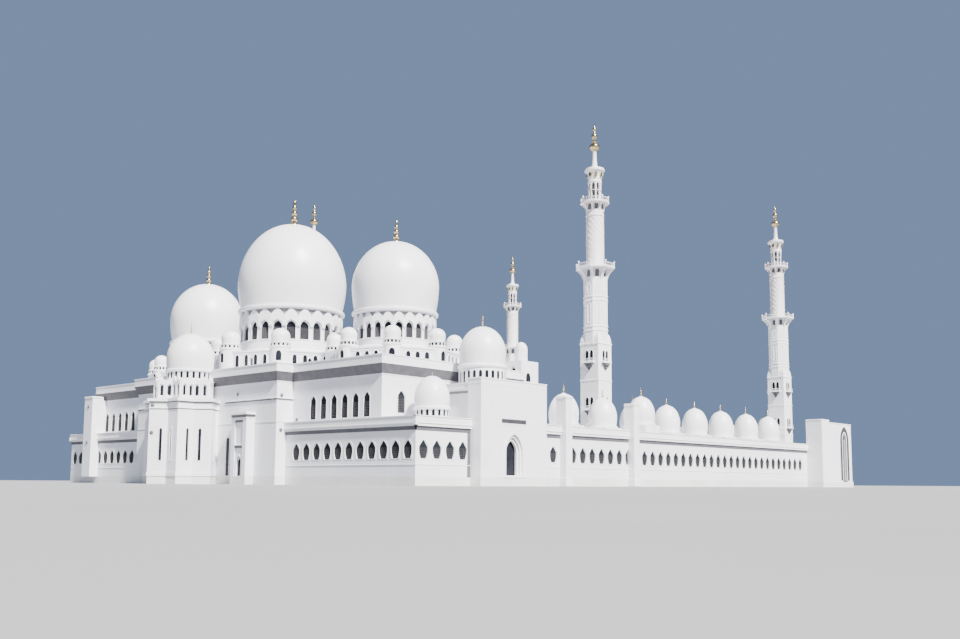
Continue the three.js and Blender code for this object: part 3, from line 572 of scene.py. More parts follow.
# %% Small domes on drums
def small_dome(name, spot, radius, ring, widest, top, stem, replaced=(), steps=64):
    dome = turned(bulb(radius, ring, widest, top, 10, 0.97), steps)
    put(name, dome, [spot], dome_stone, replaced)
    put(f"{name}_stem", turned(ball_stem(stem, top - 0.1, 0.85), 12), [spot], gilding)


def slotted_drum(name, spot, radius, low, high, count, width, sill, top):
    template = [(-0.8, low), (0.3, low), (0.3, low + 0.3), (0, low + 0.5), (0, high - 1),
                (0.35, high - 0.7), (0.35, high - 0.3), (0.1, high), (-0.8, high), (-0.8, low)]
    drum = turned([(radius + u, z) for u, z in template], count * 3)
    hole = panel(arch(width, sill, top, 1.2, 3), -1, 2.4)
    carve(drum, copies(hole, around(count, radius, 0.5)))
    put(name, drum, [spot], wall_stone)


# The ring of glass inside a small drum is painted near black, as the shade behind its openings.
def drum_glass(name, spot, template, steps=40):
    put(name, turned(template, steps), [spot], glass_in_painted_shade)


SMALL_Y, NICHE_X = 73, -33
for name, s, _ in SIDES:
    spot = (2.9, s * SMALL_Y)
    small_dome(f"{name}_portal_bulb", spot, 5.75, 29.25, 32.6, 39, 3.5, [f"portal_dome_{name}"])
    slotted_drum(f"{name}_portal_drum", spot, 5.85, 23.2, 29.3, 24, 0.8, 24.5, 27.7)
    drum_glass(f"{name}_portal_drum_glass", spot, collar(5.6, 5.7, 24, 28.4))
    spot = (-14.5, s * SMALL_Y)
    small_dome(f"{name}_corner_bulb", spot, 4.15, 18, 20.2, 25.35, 1.6, (), 48)
    slotted_drum(f"{name}_corner_drum", spot, 4.05, 14.2, 18.15, 18, 0.7, 15.9, 17.4)
    drum_glass(f"{name}_corner_drum_glass", spot, collar(3.86, 3.94, 15, 17.5))
spot = (NICHE_X, 0)
small_dome("niche_bulb", spot, 6.2, 30.1, 33.5, 40.1, 3.3, ["niche_dome"])
slotted_drum("niche_drum", spot, 6, 26.6, 30.2, 24, 0.7, 27.6, 29.4)
drum_glass("niche_drum_glass", spot, collar(5.82, 5.92, 27, 29.6), 48)

# %% [markdown]
# The domes of the arcades are eggs: they swell from a narrow ring and run up to a point. They
# are turned once and copied along the roofs, each on a plain round neck.

# %% Egg domes of the arcades
EGG_X = [34.6, 52.4, 86, 102.6, 119.2, 136.6, 153]
EAST_Y = [-52, -39, -26, 26, 39, 52]
ROW_Y, TALL_X, EAST_ROW_X = 73.7, 72, 191
NEAR_X, NEAR_Y = 83, 63.4


def egg(rise=0):
    curve = [(4.1, 15.9), (4.3, 16.1), (4.3, 16.5), (3.85, 16.6), (3.82, 17), (3.95, 18)]
    for angle in [pi / 2 * i / 11 for i in range(11)]:
        curve.append((4 * cos(angle) ** 0.92 + 0.02, 19.2 + 5.4 * sin(angle) ** 1.06))
    curve += [(0.14, 24.95), (0, 24.95)]
    return turned([(0, 14.2), (4.1, 14.2)] + [(u, z + rise) for u, z in curve], 40)


for name, s, _ in SIDES:
    row, tall, near = [(x, s * ROW_Y) for x in EGG_X], (TALL_X, s * ROW_Y), (NEAR_X, s * NEAR_Y)
    eggs = [copies(egg(), row), copies(egg(1.7), [tall]), copies(egg(0.6), [near])]
    dress(f"{name}_arcade_domes", join(eggs), dome_stone)
    stems = [(*spot, 24.9) for spot in row] + [(*tall, 26.6), (*near, 25.5)]
    put(f"{name}_arcade_stems", turned(ball_stem(2.2, 0, 1.3), 10), stems, gilding)
east_row = [(EAST_ROW_X, y) for y in EAST_Y]
put("gate_side_domes", egg(), east_row, dome_stone)
put("gate_side_stems", turned(ball_stem(2.2, 24.9, 1.3), 10), east_row, gilding)

# %% [markdown]
# ## Minarets
#
# Each of the four minarets climbs in stages: a square base with paired windows, a curved
# shoulder, an eight-sided stage, a corbelled balcony, a round shaft wrapped in a net of ribs, a
# second balcony, an open lantern of columns and a gilded top. One is modelled and copied.

# %% Minaret base
BASE, STAGE, SHAFT = 3.25, 3.3, 2.6
SHELVES = (35.4, 21.7)


def on_faces(piece):
    return copies(piece, [(0, -BASE, 0, SOUTH), (BASE, 0, 0, EAST), (0, BASE, 0, NORTH),
                          (-BASE, 0, 0, WEST)])


def minaret_base():
    base = block((-BASE, BASE), (-BASE, BASE), (FLOOR, 41.4), 0.08)
    pairs = [(x, sill, top) for sill, top in ((36.1, 39.2), (22.4, 25.6), (11, 14))
             for x in (-0.8, 0.8)]
    holes = [panel(arch(1.15, sill, top), -0.6, 1.2, 0, x) for x, sill, top in pairs]
    carve(base, on_faces(join(holes)))
    trims = [base]
    for low, grow in ((FLOOR, 0.35), (40.9, 0.16), (19.2, 0.1), (30.2, 0.1)):
        wide = (-BASE - grow, BASE + grow)
        trims.append(block(wide, wide, (low, low + 0.45), 0.08))
    rims = [panel(arch(1.45, sill - 0.15, top + 0.18), -0.1, 0.3, 0.15, x)
            for x, sill, top in pairs]
    trims.append(on_faces(join(rims)))
    for foot in SHELVES:
        shelf = [block((-2, 2), (-1, 0.1), (foot, foot + 0.35), 0.05),
                 block((-1.95, 1.95), (-0.98, -0.88), (foot + 1.2, foot + 1.32), 0.02)]
        for x in spread(-1.9, 1.9, 0.38):
            shelf.append(block((x - 0.03, x + 0.03), (-0.96, -0.9),
                               (foot + 0.3, foot + 1.25), 0.01))
        trims.append(on_faces(join(shelf)))
    return join(trims)


# %% [markdown]
# The shoulder and the eight-sided stage are turned in four and eight steps. Pairs of thin rings
# mark the stage, and a tall arched panel stands on each of its faces.

# %% Shoulder and eight-sided stage
def faceted(template, steps):
    grown = 1 / cos(pi / steps)
    piece = turned([(radius * grown, z) for radius, z in template], steps)
    return copies(piece, [(0, 0, 0, pi / steps)])


def minaret_stage():
    curve = [(0, 41.2), (3.2, 41.2), (3.2, 42.0), (3.1, 42.8), (2.9, 43.6), (2.6, 44.2), (0, 44.3)]
    stage, out = [(0, 41), (STAGE, 41)], STAGE + 0.13
    for low in (44.8, 46, 53.6, 54.8):
        stage += [(STAGE, low), (out, low + 0.1), (out, low + 0.4), (STAGE, low + 0.5)]
    stage += [(STAGE, 63.2), (0, 63.2)]
    pieces = [faceted(curve, 4), faceted(stage, 8)]
    for sill, top in ((47.3, 53), (56, 58.4)):
        rim = panel(arch(1.3, sill - 0.2, top + 0.25), -0.09, 0.2, 0.18)
        pieces.append(copies(rim, around(8, STAGE)))
    return join(pieces)


# %% [markdown]
# The arches between the brackets of a balcony lie in shade. Thin slabs of a dark stone stand in
# them, just proud of the wall, as painted shade. The stepped corbels under the windows' shelves and
# the lantern's core take the same painted shade.

# %% Shaded pieces of a minaret
def minaret_shade():
    pieces = []
    for low, high, wall, width in ((60.9, 63, STAGE, 1.1), (81.2, 82.95, SHAFT, 1.0)):
        pane = panel(arch(width, low, high, 0.9), -0.06, 0.3)
        pieces.append(copies(pane, around(8, wall)))
    pieces.append(turned([(0, 83.2), (1.05, 83.2), (1.05, 89.8), (0, 89.8)], 16))
    steps = ((1.5, 0.8, -0.7, 0), (0.9, 0.5, -1.4, -0.7), (0.4, 0.28, -2, -1.4))
    corbels = []
    for foot in SHELVES:
        for wide, depth, low, high in steps:
            outline = [(-wide, foot + high), (wide, foot + high), (0.6 * wide, foot + low),
                       (-0.6 * wide, foot + low)]
            corbels.append(panel(outline, -depth, depth + 0.1))
    pieces.append(on_faces(join(corbels)))
    return join(pieces)


# %% [markdown]
# Under a balcony, eight curved brackets carry a thin plate; the arches between them are darkened by
# the minaret's slabs of painted shade. The railing is open: posts with a ball at the corners, two
# rails, and a few thin upright bars.

# %% Balcony
def balcony(floor_z, wall, reach, steps, thick, drop):
    inner, foot, line = wall - 0.3, floor_z - drop, reach - 0.23
    curve = [(inner, foot), (wall + 0.08, foot)]
    for i in range(1, 7):
        share = i / 6
        out = (reach - 0.3 - wall) * (0.25 * share + 0.75 * share**2.6)
        curve.append((wall + 0.08 + out, foot + (drop - 0.4) * share))
    arm = [(-thick / 2, -u, z) for u, z in [*curve, (inner, floor_z - 0.4)]]
    pieces = [copies(slab(arm, (thick, 0, 0)), around(8, 0, 0.5))]
    plate = [(inner, -0.5), (reach - 0.3, -0.5), (reach, -0.32), (reach, -0.05), (reach - 0.1, 0),
             (inner, 0), (inner, -0.5)]
    for template in (plate, collar(reach - 0.28, reach - 0.18, 0.14, 0.24),
                     collar(reach - 0.3, reach - 0.16, 1.0, 1.12)):
        ring = turned([(u, floor_z + z) for u, z in template], steps)
        pieces.append(copies(ring, [(0, 0, 0, pi / 8)]))
    knob = [(0, 0), (0.13, 0), (0.13, 1.15), (0.2, 1.2), (0.26, 1.42), (0.2, 1.64), (0, 1.72)]
    post = turned([(u, floor_z + z) for u, z in knob], 8)
    posts = around(8, line, 0.5)
    pieces.append(copies(post, posts))
    spots = []
    for i in range(8):
        first, last = Vector(posts[i][:2]), Vector(posts[(i + 1) % 8][:2])
        for j in range(1, 6):
            at = first.lerp(last, j / 6)
            spots.append(at if steps == 8 else at.normalized() * line)
    bar = block((-0.03, 0.03), (-0.03, 0.03), (floor_z, floor_z + 1.05), 0.005)
    pieces.append(copies(bar, spots))
    return join(pieces)


# %% [markdown]
# The net on the round shaft is made of thin ribs that climb both ways. The Screw modifier sweeps
# a small square up and round the axis, once to the left and once to the right.

# %% Round shaft with its net of ribs
def helix_rib(radius, low, high, turns, half=0.065):
    inner, outer = radius - half, radius + half * 0.9
    outline = [(inner, -half * 0.5, low), (outer, -half, low), (outer, half, low),
               (inner, half * 0.5, low)]
    rib = thread([*outline, outline[0]])
    choose_all()
    bpy.ops.mesh.remove_doubles(threshold=WELD)
    bpy.ops.transform.rotate(value=pi / 2, orient_axis="X",
                             center_override=(radius * M, 0, low * M))
    leave()
    steps = max(8, round(abs(turns) * 28))
    change(rib, "SCREW", axis="Z", angle=turns * tau, screw_offset=(high - low) * M,
           steps=steps, render_steps=steps, use_merge_vertices=True)
    edit()
    bpy.ops.mesh.fill_holes(sides=5)
    settle()
    return rib


def minaret_shaft():
    template = [(0, 63.2), (2.75, 63.2), (2.75, 65.2), (SHAFT, 65.5), (2.55, 79.2), (2.72, 79.35),
                (2.72, 79.65), (SHAFT, 79.8), (SHAFT, 83.1), (0, 83.1)]
    pieces = [turned(template, 32)]
    for turns in (0.62, -0.62):
        pieces.append(copies(helix_rib(SHAFT, 65.6, 79.1, turns), around(12, 0)))
    return join(pieces)


# %% [markdown]
# The lantern is a ring of slender columns with arched rims between them, under a cap that widens
# upwards. The gilded top is a chain of balls, with a crown of leaves round the cap.

# %% Lantern
def minaret_lantern():
    column = [(0, 83.2), (0.34, 83.2), (0.34, 83.8), (0.2, 84), (0.18, 88.7), (0.36, 89.2),
              (0.36, 89.7), (0, 89.7)]
    pieces = [copies(turned(column, 10), around(8, 1.72))]
    rim = panel(arch(1.25, 87.2, 89.6), -0.18, 0.36, 0.1)
    pieces.append(copies(rim, around(8, 1.7, 0.5)))
    cap = [(0, 89.5), (1.95, 89.5), (2.08, 89.8), (2.08, 90.1), (1.95, 90.3), (2.02, 91.2),
           (2.2, 92), (2.55, 92.7), (2.95, 93.1), (3, 93.4), (2.8, 93.5), (2.8, 93.9),
           (1.9, 94.1), (1.05, 94.5), (0.74, 95.2), (0.62, 97), (0.52, 99.7), (0, 99.7)]
    pieces.append(turned(cap, 32))
    return join(pieces)


def minaret_top():
    curve = [(0, 99.4), (0.62, 99.4), (0.8, 99.6)]
    balls = ((99.6, 101.9, 1.62), (101.9, 102.6, 0.7), (103, 105, 0.95), (105.6, 106.9, 0.6))
    for low, high, fat in balls:
        for i in range(1, 8):
            angle = -pi / 2 + pi * i / 8
            curve.append((fat * cos(angle), (low + high) / 2 + (high - low) / 2 * sin(angle)))
    top = turned([*curve, (0.16, 107.2), (0, 108.4)], 20)
    leaf = panel(both_sides([(0.32, 91.2), (0.42, 92)], 93), -0.12, 0.3)
    return join([top, copies(leaf, around(8, 2.35))])


# %% Copy the minarets
low_balcony = balcony(63.8, STAGE, 5.9, 8, 0.85, 4.6)
high_balcony = balcony(83.6, SHAFT, 4.3, 32, 0.6, 2.9)
models = (
    ("masonry", join([minaret_base(), minaret_stage(), low_balcony]), trim_stone, "tower"),
    ("shaft", join([minaret_shaft(), high_balcony, minaret_lantern()]), tower_stone, "shaft"),
    ("top", minaret_top(), gilding, "spire"),
    ("shade", minaret_shade(), painted_shade_and_inlay_stone, ""),
)
for where, x in (("hall_minaret", 59.6), ("gate_minaret", 178.2)):
    for name, s, _ in SIDES:
        tower, y = f"{where}_{name}", s * 66.4
        for part, model, finish, end in models:
            replaced = [f"{tower}_{end}"] if end else ()
            put(f"{tower}_{part}", twin(model), [(x, y)], finish, replaced)
        # Glass painted near black stands behind the base windows, as the shade inside the base.
        pane = turned(collar(4.16, 4.26, 10, 40), 4)
        put(f"{tower}_glass", pane, [(x, y, 0, pi / 4)], glass_in_painted_shade)
for _, model, *_ in models:
    bpy.data.objects.remove(model)

# %% [markdown]
# ## Podiums and turrets
#
# Each great drum stands on an eight-sided podium with a turret at every corner: a round body
# with arched lights, a belt of tiny openings and a ball-shaped dome.

# %% Turrets of the podiums
def turret_model(radius, body_top, crown):
    belt = body_top - 0.1
    middle = (belt + 1.1 + crown) / 2 - 0.3
    body = [(0, -0.7), (0.2, -0.5), (0.2, -0.2), (-0.1, 0), (-0.1, 0.75), (0.08, 0.85)]
    body = [(0, 28.8), (radius, 28.8)] + [(radius + u, belt + z) for u, z in body]
    body.append((radius * 0.86, belt + 1.05))
    for angle in [-0.5 + (pi / 2 + 0.5) * i / 9 for i in range(1, 9)]:
        body.append((radius * 0.93 * cos(angle), middle + (crown - middle) * sin(angle)))
    turret = turned([*body, (0.12, crown), (0, crown)], 32)
    tiny = panel(arch(0.62, belt - 0.05, belt + 0.72, 1, 2), -0.4, 1.3)
    large = panel(arch(1.5, belt - 4.2, belt - 1.4), -0.4, 1.3)
    holes = [copies(tiny, around(14, radius - 0.1, 0.5)), copies(large, around(4, radius))]
    return carve(turret, join(holes))


def podium_lights(reach, sill, top, pitch, count):
    glass, rims = [], []
    end = pitch * (count - 1) / 2
    for u in spread(-end, end, pitch):
        glass.append(panel(arch(1.15, sill, top), -0.04, 0.2, 0, u))
        rims.append(panel(arch(1.51, sill - 0.18, top + 0.2), -0.2, 0.3, 0.17, u))
    spots = around(8, reach * cos(pi / 8), 0.5)
    return copies(join(glass), spots), copies(join(rims), spots)


# %% Dress the podiums
for name, y, size in CLUSTERS:
    reach, radius, body_top, crown = size["turret"]
    spot, deck, podium = [(0, y)], size["foot"], size["podium"]
    turrets = copies(turret_model(radius + 0.22, body_top, crown), around(8, reach))
    put(f"{name}_turrets", turrets, spot, dome_stone)
    # A thin ring of glass inside each turret is painted near black, as the shade behind its
    # openings.
    core = turned(collar(radius + 0.03, radius + 0.07, 31, body_top + 0.72), 32)
    put(f"{name}_turret_glass", copies(core, around(8, reach)), spot, glass_in_painted_shade)
    glass, rims = podium_lights(podium, deck - 4.9, deck - 1.1, *size["lights"])
    edges = [turned(collar(podium - 1, podium + out, deck - low, deck - high), 8)
             for out, low, high in ((0.3, 0.4, -0.03), (0.16, 1, 0.7))]
    put(f"{name}_podium_trim", join([rims, *edges]), spot, trim_stone)
    # The podium's panes are painted near black, as shaded windows.
    put(f"{name}_podium_glass", glass, spot, glass_in_painted_shade)

# %% [markdown]
# ## Windows
#
# Rows of keyhole windows run round the building. Each opening has a raised marble rim, a star
# lattice in its lower part in near-black stone as painted shade, and glass painted near black, as
# the shaded room, set back in the wall. One of each is copied along.

# %% A window of each size
def keyhole(width, sill, top):
    half, tall = width / 2, top - sill
    curve = ((0.62, 0), (0.78, 0.12), (0.94, 0.3), (1, 0.5), (0.95, 0.67), (0.76, 0.81),
             (0.42, 0.92))
    return both_sides([(half * u, sill + tall * v) for u, v in curve], top)


def window_parts(width, sill, top, rim, hole):
    outer = arch(width + 2 * rim, sill - rim, top + rim * 1.4, 1.1)
    frame_rim = carve(panel(outer, -0.06, 0.31), panel(hole, -1, 2))
    half = width / 2 + 0.1
    # The pane behind the lattice is painted near black, as the shaded room.
    pane = block((-half, half), (0.24, 0.31), (sill - 0.1, top + 0.1), 0.01)
    tall = (top - sill) * 0.62
    clear()
    bpy.ops.mesh.primitive_grid_add(x_subdivisions=3, y_subdivisions=5, size=M)
    grille = bpy.context.object
    edit()
    bpy.ops.transform.resize(value=(width + 0.2, tall, 1))
    bpy.ops.mesh.poke()
    leave()
    grille.rotation_euler.x = pi / 2
    grille.location = (0, 0.17 * M, (sill + tall / 2) * M)
    pick(grille)
    bpy.ops.object.transform_apply()
    return frame_rim, change(grille, "WIREFRAME", thickness=0.08 * M), pane


def window_row(name, parts, spots):
    finishes = (("rims", trim_stone), ("lattices", painted_deep_shade_stone), ("glass", glass_in_painted_shade))
    for piece, (ending, finish) in zip(parts, finishes):
        put(f"{name}_{ending}", piece, spots, finish)


# %% Rows of windows
low_spots, high_spots, side_spots = [], [], []
for _, s, face in SIDES:
    row = spread(-23.6, -10.5, 4.2) + spread(18.25, 169, 4.2)
    low_spots += [(x, s * AISLE_Y, 0, face) for x in row]
    low_spots += [(AISLE_WEST, s * y, 0, WEST) for y in spread(37.6, 77.6, 3.95)]
    low_spots += [(EAST_WALL, s * y, 0, EAST) for y in spread(17, 76.6, 8.4)]
    high_spots += [(HALL_WEST, s * y, 0, WEST) for y in spread(41.3, 62.2, 3.95)]
    side_spots += [(x, s * HALL_Y, 0, face) for x in (-17.8, 21.5, 29.4)]
high_spots += [(HALL_EAST, y, 0, EAST) for y in spread(-56, 56, 16)]
low, high, side = (2.8, 6, 10.1), (2.3, 15.9, 21.65), (2.3, 16.85, 22)
window_row("low_window", window_parts(*low, 0.14, keyhole(*low)), low_spots)
window_row("high_window", window_parts(*high, 0.12, arch(*high, 1, 6)), high_spots)
window_row("side_window", window_parts(*side, 0.14, arch(*side, 1, 6)), side_spots)

# %% [markdown]
# ## Edges and belts
#
# A thin coping finishes each parapet, and fine belts cross the walls. Under the hall's coping a
# hollow moulding turns the wall outwards; it takes the dark stone as painted shade. Dark strips
# under the aisle's cornice and under the prayer wall's belts are painted shade too.

# %% Edges of walls
HALL = [(HALL_WEST, -HALL_Y), (HALL_EAST, -HALL_Y), (HALL_EAST, HALL_Y), (HALL_WEST, HALL_Y),
        (HALL_WEST, PRAYER_Y), (PRAYER_X, PRAYER_Y), (PRAYER_X, -PRAYER_Y), (HALL_WEST, -PRAYER_Y)]


def grown(corners, by):
    moved = []
    for i, (x, y) in enumerate(corners):
        (px, py), (nx, ny) = corners[i - 1], corners[(i + 1) % len(corners)]
        step = [copysign(1, v) if abs(v) > 0.01 else 0 for v in (y - py, ny - y, x - px, nx - x)]
        moved.append((x + by * (step[0] + step[1]), y - by * (step[2] + step[3])))
    return moved


def belt(corners, low, high, rim=0.3):
    return slab([(x, y, low) for x, y in corners], (0, 0, high - low), rim)


def cove(corners, low, high, reach):
    rings = []
    for z, out in ((low, 0.02), (high, reach)):
        rings.append(thread([(x, y, z) for x, y in grown(corners, out)]))
        choose_all()
        bpy.ops.mesh.edge_face_add()
        bpy.ops.mesh.delete(type="ONLY_FACE")
        leave()
    piece = join(rings)
    pick(piece)
    edit()
    bpy.ops.mesh.bridge_edge_loops()
    settle()
    return change(piece, "SOLIDIFY", thickness=0.05 * M, offset=1)


def clear_towers(piece):
    cutters = [strip((25.9, 35), s, 60.1, 69, (25, 31), 0.01) for s in (-1, 1)]
    return carve(piece, join(cutters))


edges = [belt(grown(HALL, 1.12), 29.93, 30.15, 1), belt(grown(HALL, 1.08), 28, 28.22)]
edges = [clear_towers(join(edges))]
edges += [belt(grown(HALL, 0.12), 25.5, 25.7), belt(grown(HALL, 0.1), 15.5, 15.7)]
shades = [clear_towers(cove(HALL, 25.7, 27.95, 1))]
spans = ((PORTAL_EAST, 25.2), (27.8, 56.2), (58.8, 171))
# The strip from 12.2 to 13.3 in this list is painted shade under the aisle's cornice.
aisle_lines = ((15.25, 15.44, 0.74, edges), (13.72, 13.9, 0.68, edges), (4.6, 4.75, 0.1, edges),
               (12.2, 13.3, 0.14, shades), (13.1, 13.72, 0.5, edges))
for s in (-1, 1):
    for low, high, out, pieces in aisle_lines:
        z, far = (low, high), AISLE_Y + out
        for x in ((AISLE_WEST - out, PORTAL_WEST), *spans):
            pieces.append(strip(x, s, 79.4, far, z))
        pieces.append(strip((AISLE_WEST - out, -25.8), s, 33.4, far, z))
        pieces.append(strip((197.8, EAST_WALL + out), s, 13, AISLE_Y, z))
    edges.append(strip((-26.7, -25.85), s, 79.45, 80.3, (13.32, 14.3), 0.04))
    # The lower strip here is painted shade under each belt of the prayer wall.
    for low, high, out, pieces in ((21.3, 21.55, 0.26, edges), (20.95, 21.3, 0.1, shades)):
        for near, far in ((11, 31.2), (31.6, PRAYER_Y)):
            pieces.append(strip((PRAYER_X - out, -28.9), s, near, far + out, (low, high)))
        pieces.append(strip((PRAYER_X, -24.1), s, 33.2, PRAYER_Y + out, (low, high)))
dress("roof_edges", join(edges), trim_stone)
dress("cornice_shade", join(shades), painted_shade_and_inlay_stone)

# %% [markdown]
# ## Prayer niche
#
# The niche is two squares laid across each other, an eight-pointed star seen from above. Small
# gables stand round its upper tier, two on each face, and thin mouldings run round its walls.

# %% Star outline
def star(inset):
    half = 8 - inset
    point = 11.4 - inset * sqrt(2)
    step = point - half
    side = [(-point, 0), (-half, -step), (-half, -half), (-step, -half), (0, -point), (step, -half),
            (PRAYER_X - NICHE_X, -half)]
    outline = side + [(x, -y) for x, y in reversed(side[1:])]
    return [(x + NICHE_X, y) for x, y in outline]


def star_faces(inset, share):
    corners = star(inset)
    spots = []
    for i in range(5):
        (x0, y0), (x1, y1) = corners[i], corners[i + 1]
        along = share if i % 2 == 0 else 1 - share
        x, y = x0 + (x1 - x0) * along, y0 + (y1 - y0) * along
        turn = atan2(y1 - y0, x1 - x0)
        spots += [(x, y, 0, turn), (x, -y, 0, pi - turn)]
    return spots


# %% Gables, mouldings and slits of the niche
gable = panel(both_sides([(0.975, 21.85), (0.975, 26.3), (0.35, 27)], 27.9), -0.3, 0.5)
carve(gable, panel(arch(1.15, 22.6, 25.9), -1, 2))
gables, slits = star_faces(1.5, 0.27) + star_faces(1.5, 0.78), star_faces(0, 0.64)
slit = panel(arch(1.2, 5.8, 14.7), -0.09, 0.3, 0.2)
niche_trim = [copies(gable, gables), copies(slit, slits)]
for low, high, out, rim in ((21.18, 21.92, 0.49, 0.7), (19.35, 19.55, 0.16, 0.3),
                            (FLOOR, 3, 0.14, 0.3), (26.7, 26.9, -1.35, 0.3)):
    niche_trim.append(belt(star(-out), low, high, rim))
dress("niche_trim", join(niche_trim), trim_stone)
# Panes in the gables and slits are painted near black, as shade.
panes = [copies(panel(arch(0.7, 22.9, 25.5), -0.06, 0.1), gables),
         copies(panel(arch(0.9, 5.9, 14.5), 0.3, 0.1), slits)]
dress("niche_glass", join(panes), glass_in_painted_shade)
# Dark lines under the niche's mouldings are painted shade.
lines = [belt(star(-0.04), 19.1, 19.35), belt(star(-0.1), 20.9, 21.2)]
dress("niche_shade", join(lines), painted_shade_and_inlay_stone)

# %% [markdown]
# Beside the niche, two porches stand out from the prayer wall. A rim frames each door, with a
# lintel over it, and a cap crowns the porch.

# %% Porches
PORCH_X, PORCH_NEAR, PORCH_FAR, PORCH_Y = -31.5, 17.9, 24.3, 21.1


def porch_line(s, out, z, edge=0.03):
    return strip((PORCH_X - out, PRAYER_X), s, PORCH_NEAR - out, PORCH_FAR + out, z, edge)


def door_line(s, half, x0, x1, z, edge=0.03):
    return strip((PORCH_X + x0, PORCH_X + x1), s, PORCH_Y - half, PORCH_Y + half, z, edge)


for name, s, _ in SIDES:
    spot = [(PORCH_X + 0.3, s * PORCH_Y, 0, WEST)]
    rim = panel(arch(2.5, 1.9, 7.45), -0.16, 0.4, 0.22)
    pieces = [porch_line(s, 0.45, (17.55, 18.22), 0.05), porch_line(s, 0.15, (16.5, 16.7), 0.04),
              door_line(s, 1.7, -0.05, 0.32, (9.75, 10), 0.04), copies(rim, spot)]
    dress(f"{name}_porch_trim", join(pieces), trim_stone)
    # Dark strips under the porch's cap and lintels are painted shade.
    shade = [porch_line(s, 0.1, (16.9, 17.55)), door_line(s, 1.68, 0.05, 0.31, (15.6, 16.2)),
             door_line(s, 1.68, 0.05, 0.31, (9.1, 9.75))]
    dress(f"{name}_porch_shade", join(shade), painted_shade_and_inlay_stone)
    # The door leaf is painted near black, as the shade of the doorway.
    door = panel(arch(2.1, FLOOR, 7.2), 0.6, 0.1)
    put(f"{name}_porch_door_leaf", door, spot, glass_in_painted_shade)

# %% [markdown]
# ## Side portals and the east gate
#
# Each entrance is a set of arches, one inside the other, each a step further back. One profile,
# drawn at smaller and smaller sizes, gives the set. Beside the portals, the corner towers have a
# window each.

# %% Nested arches
def nested_arches(width, top, spot):
    pieces = []
    for k in range(3):
        outline = arch(width + 0.5 - k * 1.05, RIM_FOOT, top + 0.35 - k * 0.75, 1.35, 8)
        pieces.append(panel(outline, -0.12 + k * 0.5, 0.62, 0.53))
    return copies(join(pieces), [spot])


def door_leaves(width, top):
    return panel(arch(width - 1.4, FLOOR, top - 1.1, 1.35, 8), 1.75, 0.1)


def gate_panel(half, high, spot):
    outline = [(half, FLOOR), (half, high), (-half, high), (-half, FLOOR)]
    return copies(panel(outline, -0.07, 0.2, 0.16), [spot])


for name, s, face in SIDES:
    spot, tower = (3.3, s * PORTAL_Y, 0, face), [(28.7, s * HALL_Y, 0, face)]
    parts = [nested_arches(6.6, 12.5, spot), gate_panel(5, 14.6, spot)]
    for low, high, out in ((24.75, 25.04, 0.1), (23.6, 23.75, 0.05)):
        x = (PORTAL_WEST - out, PORTAL_EAST + out)
        parts.append(strip(x, s, 78.8, PORTAL_Y + out, (low, high)))
    for low, high, out in ((23.85, 24.04, 0.8), (22.68, 22.85, 0.78)):
        for x in ((-7.5 - out, -7), (14.2, 14.7 + out)):
            parts.append(strip(x, s, 67.3, 78.8, (low, high)))
    dress(f"{name}_portal_trim", join(parts), trim_stone)
    # The door leaves are painted near black, as the shade of the deep archway.
    put(f"{name}_portal_door", door_leaves(6.6, 12.5), [spot], glass_in_painted_shade)
    # The dark strip over the portal arch is a painted shadow under its moulding.
    slot = strip((-1.15, 7.75), s, 82.8, 82.94, (14.75, 15.75), 0.02)
    dress(f"{name}_portal_slot_shadow", slot, painted_deep_shade_stone)
    # The dark strip on the aisle wall beside the portal is painted shadow of the recess.
    side = strip((-9.5, PORTAL_WEST), s, AISLE_Y, 79.68, (FLOOR, 15.4), 0.02)
    dress(f"{name}_portal_side_shadow", side, painted_shade_and_inlay_stone)
    # A block of glass painted near black fills the corner tower behind its window, as the shade
    # inside.
    core = strip((27.2, 31.8), s, 61.4, 65, (28.9, 32.4), 0.05)
    pane = copies(panel(arch(1.9, 27.8, 30.2), -0.05, 0.1), tower)
    dress(f"{name}_tower_glass", join([core, pane]), glass_in_painted_shade)
    plug = strip((28.3, 30.7), s, 65.42, 66.17, (29.5, 32.5), 0.02)
    rim = copies(panel(arch(2.3, 27.6, 30.5), -0.1, 0.3, 0.2), tower)
    dress(f"{name}_tower_front", join([plug, rim]), wall_stone)
    # The mid-grey strip on the portal hall's west wall is painted shade under its moulding.
    band = strip((-7.62, -7.3), s, 67.3, 78.8, (21.6, 22.4), 0.02)
    dress(f"{name}_portal_band", band, painted_recess_shade_stone)
spot = (203.87, 0, 0, EAST)
dress("east_gate_trim", join([nested_arches(8, 14.5, spot), gate_panel(6, 16.4, spot)]), trim_stone)
# The gate's door leaves are painted near black, as the shade of the archway.
put("east_gate_door", door_leaves(8, 14.5), [spot], glass_in_painted_shade)

# %% [markdown]
# ## Arcades, courtyard and pylons
#
# A ring of small tabs hangs round the necks of the arcade domes. On the court side, each pointed
# arch has a raised rim and stands between slender columns with gilded capitals.

# %% Tabs round the arcade domes
tab = panel(both_sides([(0.55, 16.05), (0.55, 15.4), (0.3, 14.95)], 14.8), -0.12, 0.3)
spots = [(x, s * ROW_Y) for x in EGG_X for s in (-1, 1)] + east_row
spots += [(TALL_X, s * ROW_Y, 1.7) for s in (-1, 1)]
put("dome_tabs", copies(tab, around(20, 4.1)), spots, trim_stone)

